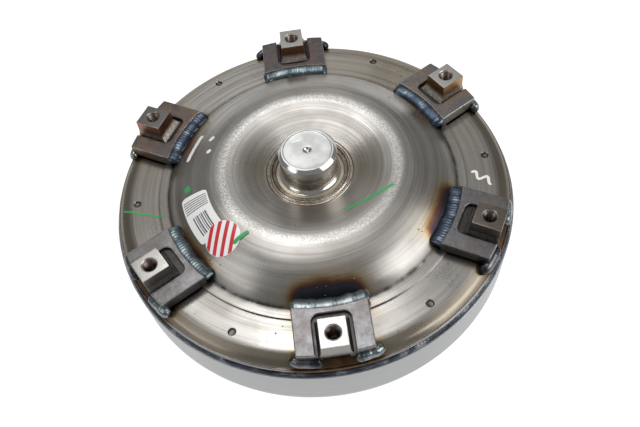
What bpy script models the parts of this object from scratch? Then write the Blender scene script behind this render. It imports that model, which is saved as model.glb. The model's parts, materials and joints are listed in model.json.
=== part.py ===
"""Automotive torque converter with a lock-up clutch, modelled as the separate pieces that it is built from.

The shaft axis is +Z, with the engine side (cover, pilot and drive lugs) up. The origin is the centre of the
impeller hub's end face. Lengths below are in millimetres; heights are measured from the front cover's flange
plane, and an empty at that plane carries every piece.
"""
import math

import bmesh
import bpy
from mathutils import Matrix, Vector

MM = 0.001
GAP = 0.3                       # air left between neighbouring pieces
CUT_MARGIN = 1.0                # how far a cutting tool runs past the faces that it cuts
SHARP_ANGLE = 35.0              # degrees between faces from which an edge is shaded sharp

# Overall layout
FLANGE_HEIGHT = 132.0           # flange plane above the hub's end face
DRUM_R = 153.5                  # outer radius of the impeller shell's drum
SHELL_T = 4.5
LUG_COUNT = 6
LUG_CIRCLE_R = 136.525          # 10.75 in bolt circle
LUG_START = -89.4               # degrees from +X to the first lug
LUG_PITCH = 360.0 / LUG_COUNT

# Segment counts
BIG_SEGMENTS = 36
INNER_SEGMENTS = 24
SMALL_SEGMENTS = 20
PIN_SIDES = 8
HOLE_SIDES = 6
POCKET_SIDES = 8
ROLLER_SIDES = 10

# Front cover: its dome from the hole out to the flange, and the dome's inner face back to the hole
COVER_HOLE_R = 30.0
COVER_T = 5.0
DOME_OUTER = [(COVER_HOLE_R, 11.5), (45.0, 15.8), (57.0, 19.8), (67.0, 21.0), (80.0, 19.6),
              (92.0, 15.3), (104.0, 8.4), (109.0, 3.2)]
DOME_INNER = [(106.0, -COVER_T), (98.0, 5.0), (84.0, 13.0), (67.0, 16.0), (45.0, 10.8), (COVER_HOLE_R, 6.5)]
STEP_Z = 1.5
STEP_R0, STEP_R1 = 110.5, 117.6
FLANGE_R0, FLANGE_R1 = 118.0, 139.5
BAND_R, BAND_Z = 146.6, -2.0    # the sloping band between the flange and the lip
RIM_R = 151.0
RIM_Z0, RIM_Z1 = -6.4, -8.1
SKIRT_R = 148.7
SKIRT_Z = -24.0
SKIRT_INNER_Z = -10.0
FACE_INNER_R = 141.0
DIMPLE_R = 134.7
DIMPLE_HOLE_R = 2.8
DIMPLE_DEPTH = 2.0

# Closure weld, between the cover's lip and the impeller shell
WELD_R0, WELD_R1 = 149.0, 152.9
WELD_Z0, WELD_Z1 = -12.0, -8.4
SHELL_TOP_Z = -12.3

# Pilot hub
PILOT_R = 21.6                  # 43.2 mm (1.70 in) crank pilot
PILOT_TOP_Z = 36.9
PILOT_CHAMFER = 2.4
PILOT_NECK_R, PILOT_NECK_Z = 20.2, 16.0
PILOT_NECK_RISE = 1.4
PILOT_FILLET = 1.8
PILOT_FLANGE_R = 29.7
PILOT_FLANGE_Z = 11.2
PILOT_BASE_Z = 4.6

# Drive lug, in its own frame: x outwards, y along the bolt circle
LUG_BOTTOM_Z = STEP_Z + GAP
LUG_PLATE_Z = 10.5
LUG_BOSS_Z = 21.1
LUG_FLOOR_Z = 7.6
LUG_HALF_WIDTH = 26.2
LUG_INNER_R, LUG_OUTER_R = 113.2, 147.2
BOSS_X0, BOSS_X1 = 126.0, 146.6
BOSS_HALF_WIDTH = 9.3
BOSS_FLARE = 1.6
RECESS_X0 = 117.4
RECESS_HALF_WIDTH = 13.4
RECESS_CORNER = 5.0
THREAD_R = 4.25                 # M10 x 1.5 tapping size
COUNTERSINK_R = 5.5
BORE_SIDES = 12
NOTCH_HALF_WIDTH = 9.0
NOTCH_DEPTH = 5.0
NOTCH_Z = 5.6

# Impeller shell and the torus that it holds
TORUS_R = 98.0
SHELL_MID_Z = -45.0
SHELL_OUT_RX, SHELL_OUT_RZ = DRUM_R - TORUS_R, 42.5
SHELL_BACK_RX = 58.0
SPLIT_Z = -50.0
PUMP_RX, PUMP_RZ = 51.0, 33.0
SHELL_HOLE_R = 56.3
CORE_RX, CORE_RZ, CORE_T = 17.5, 12.5, 1.3
BLADE_CLEARANCE = 1.8           # the shells are faceted, so the blades stop a little short of them
BLADE_T = 1.2
BLADE_STEPS = 3
BLADE_SHELL_START, BLADE_CORE_START = 3.0, 8.0
PUMP_BLADES = 23
PUMP_BLADE_ENDS, PUMP_BLADE_TURN = (154.0, 122.0), 16.0

# Impeller hub
HUB_R, HUB_BORE_R = 23.8, 20.3  # 1.875 in pump-drive hub
HUB_FLANGE_R = 56.0
HUB_TOP_Z = -66.3
HUB_FLANGE_Z = -74.2
HUB_FLANGE_TOP_Z = -69.6
HUB_STEP_R = 34.0
HUB_CHAMFER, HUB_FILLET = 1.0, 3.5
HUB_SLOT_WIDTH, HUB_SLOT_DEPTH = 10.0, 13.0

# Turbine
TURBINE_MID_Z = -49.2
TURBINE_RX, TURBINE_RZ, TURBINE_T = 48.0, 33.0, 1.7
TURBINE_FLANGE_Z = -33.0
TURBINE_FLANGE_R0 = 33.0
TURBINE_FLANGE_R1 = 57.0
TURBINE_BLADES = 21
TURBINE_BLADE_ENDS, TURBINE_BLADE_TURN = (151.0, 122.0), -22.0
RIVET_R, RIVET_CIRCLE_R, RIVET_COUNT = 2.5, 42.0, 6
RIVET_HEAD_R, RIVET_HEAD_T = 4.0, 1.8
TURBINE_HUB_TOP_Z = 0.0
TURBINE_HUB_BOTTOM_Z = -41.0
SEAL_LAND_R = 29.5
SEAL_GROOVE_R = 27.5
SEAL_Z0, SEAL_Z1 = -5.2, -3.0
SEAL_LAND_Z, BARREL_TOP_Z = -9.0, -12.0
TURBINE_BARREL_R = 20.0
TURBINE_END_R = 31.0
TURBINE_HUB_FLANGE_R = 48.0
TURBINE_HUB_FLANGE_Z0, TURBINE_HUB_FLANGE_Z1 = -39.0, -35.2
TURBINE_SPLINE_R0, TURBINE_SPLINE_R1 = 12.2, 13.4
TURBINE_ROUGH_BORE_R = 10.2
SPLINE_TEETH, SPLINE_POINTS = 10, 4

# Torsional damper
SPRING_COUNT = 6
SPRING_CIRCLE_R = 80.0
SPRING_Z = -5.2
SPRING_COIL_R, SPRING_WIRE_R = 6.8, 1.7
SPRING_LENGTH = 40.0
SPRING_TURNS = 4.0
WIRE_SIDES, WIRE_STEPS = 4, 8   # sides of the wire, and steps in each turn
DRIVEN_Z0, DRIVEN_Z1 = -7.0, -3.4
DRIVEN_R0, DRIVEN_R1 = 57.0, 96.0
DRIVEN_CONE_T = 3.0
DRIVEN_FOOT_R0, DRIVEN_FOOT_R1 = 48.5, 50.8
DRIVEN_FLANGE_Z0, DRIVEN_FLANGE_Z1 = -32.6, -29.0
DRIVEN_WINDOW_R0, DRIVEN_WINDOW_R1 = 71.0, 91.4
DRIVEN_WINDOW_HALF_ANGLE = 21.2
FRONT_PLATE_Z0, FRONT_PLATE_Z1 = -3.0, -1.0
REAR_PLATE_Z0, REAR_PLATE_Z1 = -9.4, -7.4
PLATE_R0 = 61.5
FRONT_PLATE_R1 = 94.5
REAR_PLATE_R0, REAR_PLATE_R1 = 95.0, 96.0
REAR_RING_R0, REAR_RING_R1 = 104.5, 137.4
REAR_RING_Z0, REAR_RING_Z1 = -14.4, -12.2
TOOTH_R = 141.2
TOOTH_ROOT = 4.0
TOOTH_COUNT, TOOTH_START = 6, 30.0
TOOTH_HALF_WIDTH = 9.0
TOOTH_CLEARANCE = 0.5
WINDOW_HALF_LENGTH = 20.6
WINDOW_HALF_WIDTH = 8.9
PIN_COUNT = 3
PIN_R, PIN_CIRCLE_R, PIN_START = 2.6, 67.0, 30.0
PIN_HEAD_R, PIN_HEAD_T = 4.2, 1.4
PIN_SLOT_HALF_ANGLE = 8.0       # room for a twist of 5 degrees each way, as the driven plate's windows have

# Lock-up piston
PISTON_T = 3.0
PISTON_TOP_Z = -7.9
PISTON_RIM_R0, PISTON_RIM_R1 = 138.0, 141.5
PISTON_RIM_Z = -18.0
PISTON_BORE_R, PISTON_COLLAR_R = 30.3, 33.3
PISTON_COLLAR_Z0, PISTON_COLLAR_Z1 = -6.5, 3.4
PISTON_TOP = [(106.6, PISTON_TOP_Z), (97.5, 1.5), (84.0, 9.2), (67.0, 11.8), (48.0, 8.0),
              (36.0, PISTON_COLLAR_Z1)]
PISTON_UNDER = [(PISTON_COLLAR_R, 0.0), (48.0, 4.7), (67.0, 8.7), (82.5, 6.2), (95.0, -0.8),
                (105.2, PISTON_TOP_Z - PISTON_T)]
LINING_R0, LINING_R1 = 113.0, 136.0
LINING_Z0, LINING_Z1 = -7.6, -6.1

# Stator and its one-way roller clutch
STATOR_BLADES = 13
STATOR_BLADE_Z0, STATOR_BLADE_Z1 = -58.0, -42.0
STATOR_HUB_Z0, STATOR_HUB_Z1 = -63.4, -45.7
STATOR_BORE_R, STATOR_HUB_R = 33.6, 50.0
STATOR_RING_R0, STATOR_RING_R1 = 76.2, 79.2
STATOR_BLADE_T, STATOR_BLADE_TURN = 2.6, 14.0
STATOR_BLADE_INSET = 0.6
STATOR_ROOT, STATOR_TIP = 1.5, 1.2
STATOR_NOSE, STATOR_TAIL, STATOR_NOSE_Z = 4.0, 6.0, -45.4
CLUTCH_Z0, CLUTCH_Z1 = -59.0, -48.3
OUTER_RACE_R = 33.3
CAM_LOW_R, CAM_HIGH_R = 27.9, 29.2
RAMP_POINTS = 4
ROLLER_COUNT = 8
ROLLER_R, ROLLER_CIRCLE_R = 3.0, 24.5
ROLLER_Z0, ROLLER_Z1 = -57.7, -49.7
CAGE_R0, CAGE_R1 = 21.8, 27.3
CAGE_Z0, CAGE_Z1 = -58.7, -48.6
POCKET_R = 3.4
INNER_RACE_R = 21.2
INNER_SPLINE_R0, INNER_SPLINE_R1 = 15.0, 16.2
CAP_BORE_R = 17.2
FRONT_CAP_Z0, FRONT_CAP_Z1 = -48.0, -45.7
REAR_CAP_Z0, REAR_CAP_Z1 = -61.6, -59.3
SNAP_GROOVE_R = 35.2
SNAP_R0, SNAP_R1 = 31.6, 34.8
SNAP_Z0, SNAP_Z1 = -62.6, -61.9
SNAP_GAP_ANGLE = 14.0

# Thrust bearings: inner radius, outer radius, race bottom and top, cage bottom and top
NEEDLE_COUNT, NEEDLE_SIDES = 8, 6
NEEDLE_R = 1.25
NEEDLE_INSET, CAGE_INSET = 2.2, 0.5
CAGE_PLATE_T = 1.2
FRONT_BEARING = (15.5, 26.5, 3.2, 4.3, 0.3, 2.9)
MIDDLE_BEARING = (17.0, 29.5, -42.3, -41.3, -45.4, -42.6)
REAR_BEARING = (21.5, 30.6, -66.0, -64.9, -64.6, -61.9)

# Balance weight, a small plate on the drum
BALANCE_SIZE = (28.0, 14.0, 2.2)
BALANCE_ANGLE = 118.0
BALANCE_Z = -30.0

FINISHES = {                    # colour, metallic, roughness
    "turned_steel": ((0.50, 0.48, 0.45), 1.0, 0.32),
    "satin_steel": ((0.58, 0.58, 0.57), 1.0, 0.42),
    "forged_steel": ((0.20, 0.20, 0.21), 1.0, 0.45),
    "weld": ((0.09, 0.10, 0.12), 1.0, 0.38),
    "pressed_steel": ((0.42, 0.42, 0.42), 1.0, 0.40),
    "spring_steel": ((0.25, 0.26, 0.30), 1.0, 0.35),
    "bearing_steel": ((0.66, 0.66, 0.66), 1.0, 0.20),
    "cast_aluminium": ((0.62, 0.62, 0.60), 1.0, 0.50),
    "friction_paper": ((0.16, 0.11, 0.07), 0.0, 0.90),
    "seal_polymer": ((0.05, 0.05, 0.05), 0.0, 0.60),
    "brass_cage": ((0.55, 0.42, 0.18), 1.0, 0.35),
}


def clear_scene():
    for obj in list(bpy.data.objects):
        bpy.data.objects.remove(obj, do_unlink=True)


def finish_material(finish, name):
    colour, metallic, roughness = FINISHES[finish]
    material = bpy.data.materials.new(name + "_" + finish)
    material.use_nodes = True
    shader = material.node_tree.nodes["Principled BSDF"]
    shader.inputs["Base Color"].default_value = (*colour, 1.0)
    shader.inputs["Metallic"].default_value = metallic
    shader.inputs["Roughness"].default_value = roughness
    return material


def mesh_from_bmesh(shape, name):
    bmesh.ops.recalc_face_normals(shape, faces=shape.faces)
    bmesh.ops.scale(shape, vec=Vector((MM, MM, MM)), verts=shape.verts)
    mesh = bpy.data.meshes.new(name)
    shape.to_mesh(mesh)
    shape.free()
    mesh.shade_smooth()
    mesh.set_sharp_from_angle(angle=math.radians(SHARP_ANGLE))
    return mesh


def place(name, mesh, finish, base, angle=0.0, offset=(0.0, 0.0, 0.0)):
    """Add one piece: a mesh under the base empty, turned about the shaft axis."""
    piece = bpy.data.objects.new(name, mesh)
    bpy.context.scene.collection.objects.link(piece)
    piece.parent = base
    piece.rotation_euler = (0.0, 0.0, math.radians(angle))
    piece.location = Vector(offset) * MM
    if not mesh.materials:
        mesh.materials.append(finish_material(finish, name))
    return piece


def ellipse(centre, radii, start, end, steps):
    """Points on an ellipse in the (r, z) plane, from one angle to another, both included."""
    points = []
    for i in range(steps + 1):
        angle = math.radians(start + (end - start) * i / steps)
        points.append((centre[0] + radii[0] * math.cos(angle), centre[1] + radii[1] * math.sin(angle)))
    return points


def polar(radius, degrees):
    angle = math.radians(degrees)
    return radius * math.cos(angle), radius * math.sin(angle)


def turned(name, profile, segments):
    """A closed (r, z) outline turned round the Z axis. Points on the axis become poles."""
    shape = bmesh.new()
    rings = []
    for radius, z in profile:
        if radius <= 0.0:
            rings.append([shape.verts.new((0.0, 0.0, z))] * segments)
            continue
        ring = []
        for i in range(segments):
            x, y = polar(radius, 360.0 * i / segments)
            ring.append(shape.verts.new((x, y, z)))
        rings.append(ring)
    for ring, following in zip(rings, rings[1:] + rings[:1]):
        for i in range(segments):
            j = (i + 1) % segments
            corners = []
            for vert in (ring[i], ring[j], following[j], following[i]):
                if vert not in corners:
                    corners.append(vert)
            if len(corners) > 2:
                shape.faces.new(corners)
    return mesh_from_bmesh(shape, name)


def washer(name, r0, r1, z0, z1, segments):
    return turned(name, [(r0, z0), (r1, z0), (r1, z1), (r0, z1)], segments)


def tube_between(name, outer, inner, z0, z1):
    """A flat ring between two outlines with the same number of (x, y) points."""
    shape = bmesh.new()
    loops = []
    for outline, z in ((outer, z0), (outer, z1), (inner, z1), (inner, z0)):
        loops.append([shape.verts.new((x, y, z)) for x, y in outline])
    count = len(outer)
    for loop, following in zip(loops, loops[1:] + loops[:1]):
        for i in range(count):
            j = (i + 1) % count
            shape.faces.new((loop[i], loop[j], following[j], following[i]))
    return mesh_from_bmesh(shape, name)


def prism(name, outline, z0, z1, z1_outline=None):
    """A solid between an outline at z0 and the same or another outline at z1."""
    shape = bmesh.new()
    low = [shape.verts.new((x, y, z0)) for x, y in outline]
    high = [shape.verts.new((x, y, z1)) for x, y in (z1_outline or outline)]
    shape.faces.new(low)
    shape.faces.new(high)
    for i in range(len(low)):
        j = (i + 1) % len(low)
        shape.faces.new((low[i], low[j], high[j], high[i]))
    return mesh_from_bmesh(shape, name)


def rectangle(x0, x1, half_width):
    return [(x0, -half_width), (x1, -half_width), (x1, half_width), (x0, half_width)]


def sector(r0, r1, middle, half_angle, steps):
    """The outline of a slice of a flat ring."""
    outline = []
    for i in range(steps + 1):
        outline.append(polar(r1, middle - half_angle + 2.0 * half_angle * i / steps))
    for i in range(steps + 1):
        outline.append(polar(r0, middle + half_angle - 2.0 * half_angle * i / steps))
    return outline


def disc_outline(centre, radius, sides):
    outline = []
    for i in range(sides):
        x, y = polar(radius, 360.0 * (i + 0.5) / sides)
        outline.append((centre[0] + x, centre[1] + y))
    return outline


def joined(name, meshes):
    """Several closed meshes, apart from each other, as one mesh for a single Boolean."""
    shape = bmesh.new()
    for mesh in meshes:
        shape.from_mesh(mesh)
    mesh = bpy.data.meshes.new(name)
    shape.to_mesh(mesh)
    shape.free()
    return mesh


def combined(name, mesh, operations):
    """The mesh after a list of Boolean steps, each an operation and a tool mesh, both in metres."""
    body = bpy.data.objects.new(name + "_body", mesh)
    bpy.context.scene.collection.objects.link(body)
    tools = []
    for index, (operation, tool_mesh) in enumerate(operations):
        tool = bpy.data.objects.new("{}_tool_{}".format(name, index), tool_mesh)
        bpy.context.scene.collection.objects.link(tool)
        tool.hide_render = True
        tool.display_type = "WIRE"
        step = body.modifiers.new(operation.lower(), "BOOLEAN")
        step.operation = operation
        step.solver = "EXACT"
        step.object = tool
        tools.append(tool)
    bpy.context.view_layer.update()
    evaluated = body.evaluated_get(bpy.context.evaluated_depsgraph_get())
    result = bpy.data.meshes.new_from_object(evaluated)
    result.name = name
    for obj in [body] + tools:
        bpy.data.objects.remove(obj, do_unlink=True)
    result.shade_smooth()
    result.set_sharp_from_angle(angle=math.radians(SHARP_ANGLE))
    return result


def copies_round(name, outline_at, count, start, z0, z1):
    """Prisms repeated round the axis, joined for one Boolean; outline_at gives the outline at an angle."""
    meshes = []
    for i in range(count):
        meshes.append(prism("{}_{}".format(name, i), outline_at(start + 360.0 * i / count), z0, z1))
    return joined(name, meshes)


def turned_outline(outline, degrees):
    turn = Matrix.Rotation(math.radians(degrees), 2)
    return [tuple(turn @ Vector(point)) for point in outline]


# ---------------------------------------------------------------- housing

def cover_outline():
    """The cover's section: dished centre, crest, steep wall, flange, rounded rim and inner skirt."""
    step = [(STEP_R0, STEP_Z), (STEP_R1, STEP_Z), (FLANGE_R0, 0.0)]
    rim = [(FLANGE_R1, 0.0), (BAND_R, BAND_Z), (RIM_R, RIM_Z0), (RIM_R, RIM_Z1), (SKIRT_R, RIM_Z1)]
    skirt_inner_r = SKIRT_R - SHELL_T
    skirt = [(SKIRT_R, SKIRT_Z), (skirt_inner_r, SKIRT_Z), (skirt_inner_r, SKIRT_INNER_Z)]
    return DOME_OUTER + step + rim + skirt + [(FACE_INNER_R, -COVER_T)] + DOME_INNER


def front_cover(base):
    body = turned("front_cover", cover_outline(), BIG_SEGMENTS)

    def dimple(angle):
        return disc_outline(polar(DIMPLE_R, angle), DIMPLE_HOLE_R, 8)

    start = LUG_START + LUG_PITCH / 2.0
    pits = copies_round("dimples", dimple, LUG_COUNT, start, -DIMPLE_DEPTH, CUT_MARGIN)
    place("front_cover", combined("front_cover", body, [("DIFFERENCE", pits)]), "turned_steel", base)


def pilot_hub(base):
    chamfer_z = PILOT_TOP_Z - PILOT_CHAMFER
    profile = [(0.0, PILOT_BASE_Z), (PILOT_FLANGE_R, PILOT_BASE_Z), (PILOT_FLANGE_R, PILOT_FLANGE_Z)]
    profile += [(PILOT_NECK_R + PILOT_FILLET, PILOT_FLANGE_Z + GAP)]
    profile += [(PILOT_NECK_R, PILOT_FLANGE_Z + PILOT_FILLET), (PILOT_NECK_R, PILOT_NECK_Z)]
    profile += [(PILOT_R, PILOT_NECK_Z + PILOT_NECK_RISE), (PILOT_R, chamfer_z)]
    profile += [(PILOT_R - PILOT_CHAMFER, PILOT_TOP_Z), (0.0, PILOT_TOP_Z)]
    place("pilot_hub", turned("pilot_hub", profile, SMALL_SEGMENTS), "turned_steel", base)


def lug_plate_outline():
    """A plate whose inner and outer edges follow circles round the shaft axis."""
    outline = []
    steps = 6
    for radius, direction in ((LUG_OUTER_R, 1.0), (LUG_INNER_R, -1.0)):
        for i in range(steps + 1):
            y = direction * LUG_HALF_WIDTH * (2.0 * i / steps - 1.0)
            outline.append((math.sqrt(radius * radius - y * y), y))
    return outline


def recess_outline():
    """The U round the boss: open at the outer edge, with rounded inner corners."""
    open_x = LUG_OUTER_R + CUT_MARGIN
    outline = [(open_x, -RECESS_HALF_WIDTH), (open_x, RECESS_HALF_WIDTH)]
    centre_x = RECESS_X0 + RECESS_CORNER
    for side, start in ((1.0, 90.0), (-1.0, 180.0)):
        centre_y = side * (RECESS_HALF_WIDTH - RECESS_CORNER)
        for i in range(4):
            x, y = polar(RECESS_CORNER, start + 30.0 * i)
            outline.append((centre_x + x, centre_y + y))
    return outline


def lug_mesh():
    plate = prism("plate", lug_plate_outline(), LUG_BOTTOM_Z, LUG_PLATE_Z)
    recess = prism("recess", recess_outline(), LUG_FLOOR_Z, LUG_PLATE_Z + CUT_MARGIN)
    top = rectangle(BOSS_X0, BOSS_X1, BOSS_HALF_WIDTH)
    foot = rectangle(BOSS_X0 - BOSS_FLARE, BOSS_X1, BOSS_HALF_WIDTH + BOSS_FLARE)
    boss = prism("boss", foot, LUG_FLOOR_Z - CUT_MARGIN, LUG_BOSS_Z, top)
    sink_z = LUG_BOSS_Z - (COUNTERSINK_R - THREAD_R)
    above_z = LUG_BOSS_Z + CUT_MARGIN
    hole = [(0.0, -CUT_MARGIN), (THREAD_R, -CUT_MARGIN), (THREAD_R, sink_z)]
    hole += [(COUNTERSINK_R + CUT_MARGIN, above_z), (0.0, above_z)]
    bore = turned("bore", hole, BORE_SIDES)
    bore.transform(Matrix.Translation(Vector((LUG_CIRCLE_R, 0.0, 0.0)) * MM))
    notch_outline = rectangle(LUG_OUTER_R - NOTCH_DEPTH, LUG_OUTER_R + CUT_MARGIN, NOTCH_HALF_WIDTH)
    notch = prism("notch", notch_outline, -CUT_MARGIN, NOTCH_Z)
    steps = [("DIFFERENCE", recess), ("UNION", boss), ("DIFFERENCE", bore), ("DIFFERENCE", notch)]
    return combined("drive_lug", plate, steps)


def drive_lugs(base):
    mesh = lug_mesh()
    for i in range(LUG_COUNT):
        angle = LUG_START + LUG_PITCH * i
        place("drive_lug_{}".format(i + 1), mesh, "forged_steel", base, angle)


def closure_weld(base):
    crown = (WELD_R0 + WELD_R1) / 2.0
    middle = (WELD_Z0 + WELD_Z1) / 2.0
    profile = [(WELD_R0, WELD_Z0), (WELD_R1 - GAP, WELD_Z0), (WELD_R1, middle)]
    profile += [(WELD_R1 - 2.0 * GAP, WELD_Z1 - 2.0 * GAP), (crown, WELD_Z1), (WELD_R0, WELD_Z1 - GAP)]
    place("closure_weld", turned("closure_weld", profile, BIG_SEGMENTS), "weld", base)


def impeller_shell(base):
    mid = (TORUS_R, SHELL_MID_Z)
    outer = [(DRUM_R, SHELL_TOP_Z)]
    outer += ellipse(mid, (SHELL_OUT_RX, -SHELL_OUT_RZ), 0.0, 90.0, 5)
    reach = math.degrees(math.acos((SHELL_HOLE_R - TORUS_R) / SHELL_BACK_RX))
    outer += ellipse(mid, (SHELL_BACK_RX, -SHELL_OUT_RZ), 90.0, reach, 2)[1:]
    reach = math.degrees(math.acos((SHELL_HOLE_R - TORUS_R) / PUMP_RX))
    inner = ellipse((TORUS_R, SPLIT_Z), (PUMP_RX, -PUMP_RZ), reach, 0.0, 7)
    inner += [(DRUM_R - SHELL_T, SHELL_TOP_Z)]
    place("impeller_shell", turned("impeller_shell", outer + inner, BIG_SEGMENTS), "satin_steel", base)


def impeller_hub(base):
    end_z = -FLANGE_HEIGHT
    profile = [(HUB_BORE_R, end_z), (HUB_R - HUB_CHAMFER, end_z), (HUB_R, end_z + HUB_CHAMFER)]
    profile += [(HUB_R, HUB_FLANGE_Z - HUB_FILLET), (HUB_R + HUB_FILLET, HUB_FLANGE_Z)]
    profile += [(HUB_FLANGE_R, HUB_FLANGE_Z), (HUB_FLANGE_R, HUB_FLANGE_TOP_Z)]
    profile += [(HUB_STEP_R, HUB_TOP_Z), (HUB_BORE_R, HUB_TOP_Z)]
    body = turned("impeller_hub", profile, SMALL_SEGMENTS)
    across = rectangle(-HUB_R - CUT_MARGIN, HUB_R + CUT_MARGIN, HUB_SLOT_WIDTH / 2.0)
    slot = prism("slots", across, end_z - CUT_MARGIN, end_z + HUB_SLOT_DEPTH)
    place("impeller_hub", combined("impeller_hub", body, [("DIFFERENCE", slot)]), "turned_steel", base)


def core_profile(mid_z, direction):
    """The thin inner ring that the blades carry, half of a small torus."""
    mid = (TORUS_R, mid_z)
    outer = ellipse(mid, (CORE_RX, direction * CORE_RZ), 4.0, 176.0, 4)
    inner_radii = (CORE_RX - CORE_T, direction * (CORE_RZ - CORE_T))
    return outer + ellipse(mid, inner_radii, 174.0, 6.0, 4)


def vane(mid_z, direction, shell_radii, shell_end, core_end, turn, start):
    """One curved blade between the shell and the core ring, as a thin closed strip."""
    shape = bmesh.new()
    sections = []
    core_radii = (CORE_RX - CORE_T / 2.0, direction * (CORE_RZ - CORE_T / 2.0))
    for i in range(BLADE_STEPS + 1):
        share = i / BLADE_STEPS
        shell_angle = BLADE_SHELL_START + (shell_end - BLADE_SHELL_START) * share
        core_angle = BLADE_CORE_START + (core_end - BLADE_CORE_START) * share
        shell = ellipse((TORUS_R, mid_z), (shell_radii[0], direction * shell_radii[1]), shell_angle, 0.0, 1)[0]
        core = ellipse((TORUS_R, mid_z), core_radii, core_angle, 0.0, 1)[0]
        bend = start + turn * share
        corners = []
        for radius, z in (shell, core):
            half = math.degrees(BLADE_T / 2.0 / radius)
            for side in (-half, half):
                x, y = polar(radius, bend + side)
                corners.append(shape.verts.new((x, y, z)))
        sections.append([corners[0], corners[1], corners[3], corners[2]])
    for section, following in zip(sections, sections[1:]):
        for k in range(4):
            j = (k + 1) % 4
            shape.faces.new((section[k], section[j], following[j], following[k]))
    shape.faces.new(sections[0])
    shape.faces.new(sections[-1])
    bmesh.ops.triangulate(shape, faces=shape.faces)
    return mesh_from_bmesh(shape, "vane")


def bladed_ring(name, mid_z, direction, shell_radii, ends, turn, count, base):
    ring = turned(name, core_profile(mid_z, direction), INNER_SEGMENTS)
    vanes = []
    for i in range(count):
        vanes.append(vane(mid_z, direction, shell_radii, ends[0], ends[1], turn, 360.0 * i / count))
    mesh = combined(name, ring, [("UNION", joined(name + "_vanes", vanes))])
    place(name, mesh, "pressed_steel", base)


def balance_weight(base):
    length, height, thickness = BALANCE_SIZE
    half = math.degrees(length / 2.0 / DRUM_R)
    r0 = DRUM_R + GAP
    outline = sector(r0, r0 + thickness, 0.0, half, 4)
    mesh = prism("balance_weight", outline, BALANCE_Z - height / 2.0, BALANCE_Z + height / 2.0)
    place("balance_weight", mesh, "satin_steel", base, BALANCE_ANGLE)


# ---------------------------------------------------------------- turbine

def rivet_holes(name, z0, z1):
    def hole(angle):
        return disc_outline(polar(RIVET_CIRCLE_R, angle), RIVET_R + 3.0 * GAP, HOLE_SIDES)
    return copies_round(name, hole, RIVET_COUNT, 0.0, z0, z1)


def turbine_shell(base):
    mid = (TORUS_R, TURBINE_MID_Z)
    inner_radii = (TURBINE_RX - TURBINE_T, TURBINE_RZ - TURBINE_T)
    reach = math.degrees(math.acos((TURBINE_FLANGE_R1 - TORUS_R) / TURBINE_RX))
    profile = ellipse(mid, (TURBINE_RX, TURBINE_RZ), 0.0, reach, 5)
    profile += [(TURBINE_FLANGE_R1 - 2.0, TURBINE_FLANGE_Z), (TURBINE_FLANGE_R0, TURBINE_FLANGE_Z)]
    profile += [(TURBINE_FLANGE_R0, TURBINE_FLANGE_Z - TURBINE_T)]
    profile += [(TURBINE_FLANGE_R1 - 1.0, TURBINE_FLANGE_Z - TURBINE_T)]
    profile += ellipse(mid, inner_radii, reach, 0.0, 5)
    body = turned("turbine_shell", profile, INNER_SEGMENTS)
    flange_under_z = TURBINE_FLANGE_Z - TURBINE_T
    holes = rivet_holes("shell_holes", flange_under_z - CUT_MARGIN, TURBINE_FLANGE_Z + CUT_MARGIN)
    place("turbine_shell", combined("turbine_shell", body, [("DIFFERENCE", holes)]), "pressed_steel", base)


def spline_outline(r0, r1, teeth, points):
    """An internal spline: the radius steps between root and tip, with the same number of points all round."""
    outline = []
    for i in range(points):
        phase = (i * teeth / points) % 1.0
        outline.append(polar(r0 if phase < 0.5 else r1, 360.0 * i / points))
    return outline


def turbine_hub(base):
    profile = [(SEAL_GROOVE_R, TURBINE_HUB_TOP_Z), (SEAL_LAND_R, TURBINE_HUB_TOP_Z), (SEAL_LAND_R, SEAL_Z1)]
    profile += [(SEAL_GROOVE_R, SEAL_Z1), (SEAL_GROOVE_R, SEAL_Z0), (SEAL_LAND_R, SEAL_Z0)]
    profile += [(SEAL_LAND_R, SEAL_LAND_Z), (TURBINE_BARREL_R, BARREL_TOP_Z)]
    profile += [(TURBINE_BARREL_R, TURBINE_HUB_FLANGE_Z1), (TURBINE_HUB_FLANGE_R, TURBINE_HUB_FLANGE_Z1)]
    profile += [(TURBINE_HUB_FLANGE_R, TURBINE_HUB_FLANGE_Z0), (TURBINE_END_R, TURBINE_HUB_FLANGE_Z0)]
    profile += [(TURBINE_END_R, TURBINE_HUB_BOTTOM_Z), (TURBINE_ROUGH_BORE_R, TURBINE_HUB_BOTTOM_Z)]
    profile += [(TURBINE_ROUGH_BORE_R, TURBINE_HUB_TOP_Z)]
    body = turned("turbine_hub", profile, SMALL_SEGMENTS)
    points = SPLINE_TEETH * SPLINE_POINTS
    spline = spline_outline(TURBINE_SPLINE_R0, TURBINE_SPLINE_R1, SPLINE_TEETH, points)
    bore = prism("bore", spline, TURBINE_HUB_BOTTOM_Z - CUT_MARGIN, TURBINE_HUB_TOP_Z + CUT_MARGIN)
    holes = rivet_holes("hub_holes", TURBINE_HUB_FLANGE_Z0 - CUT_MARGIN, TURBINE_HUB_FLANGE_Z1 + CUT_MARGIN)
    mesh = combined("turbine_hub", body, [("DIFFERENCE", bore), ("DIFFERENCE", holes)])
    place("turbine_hub", mesh, "turned_steel", base)


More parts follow.
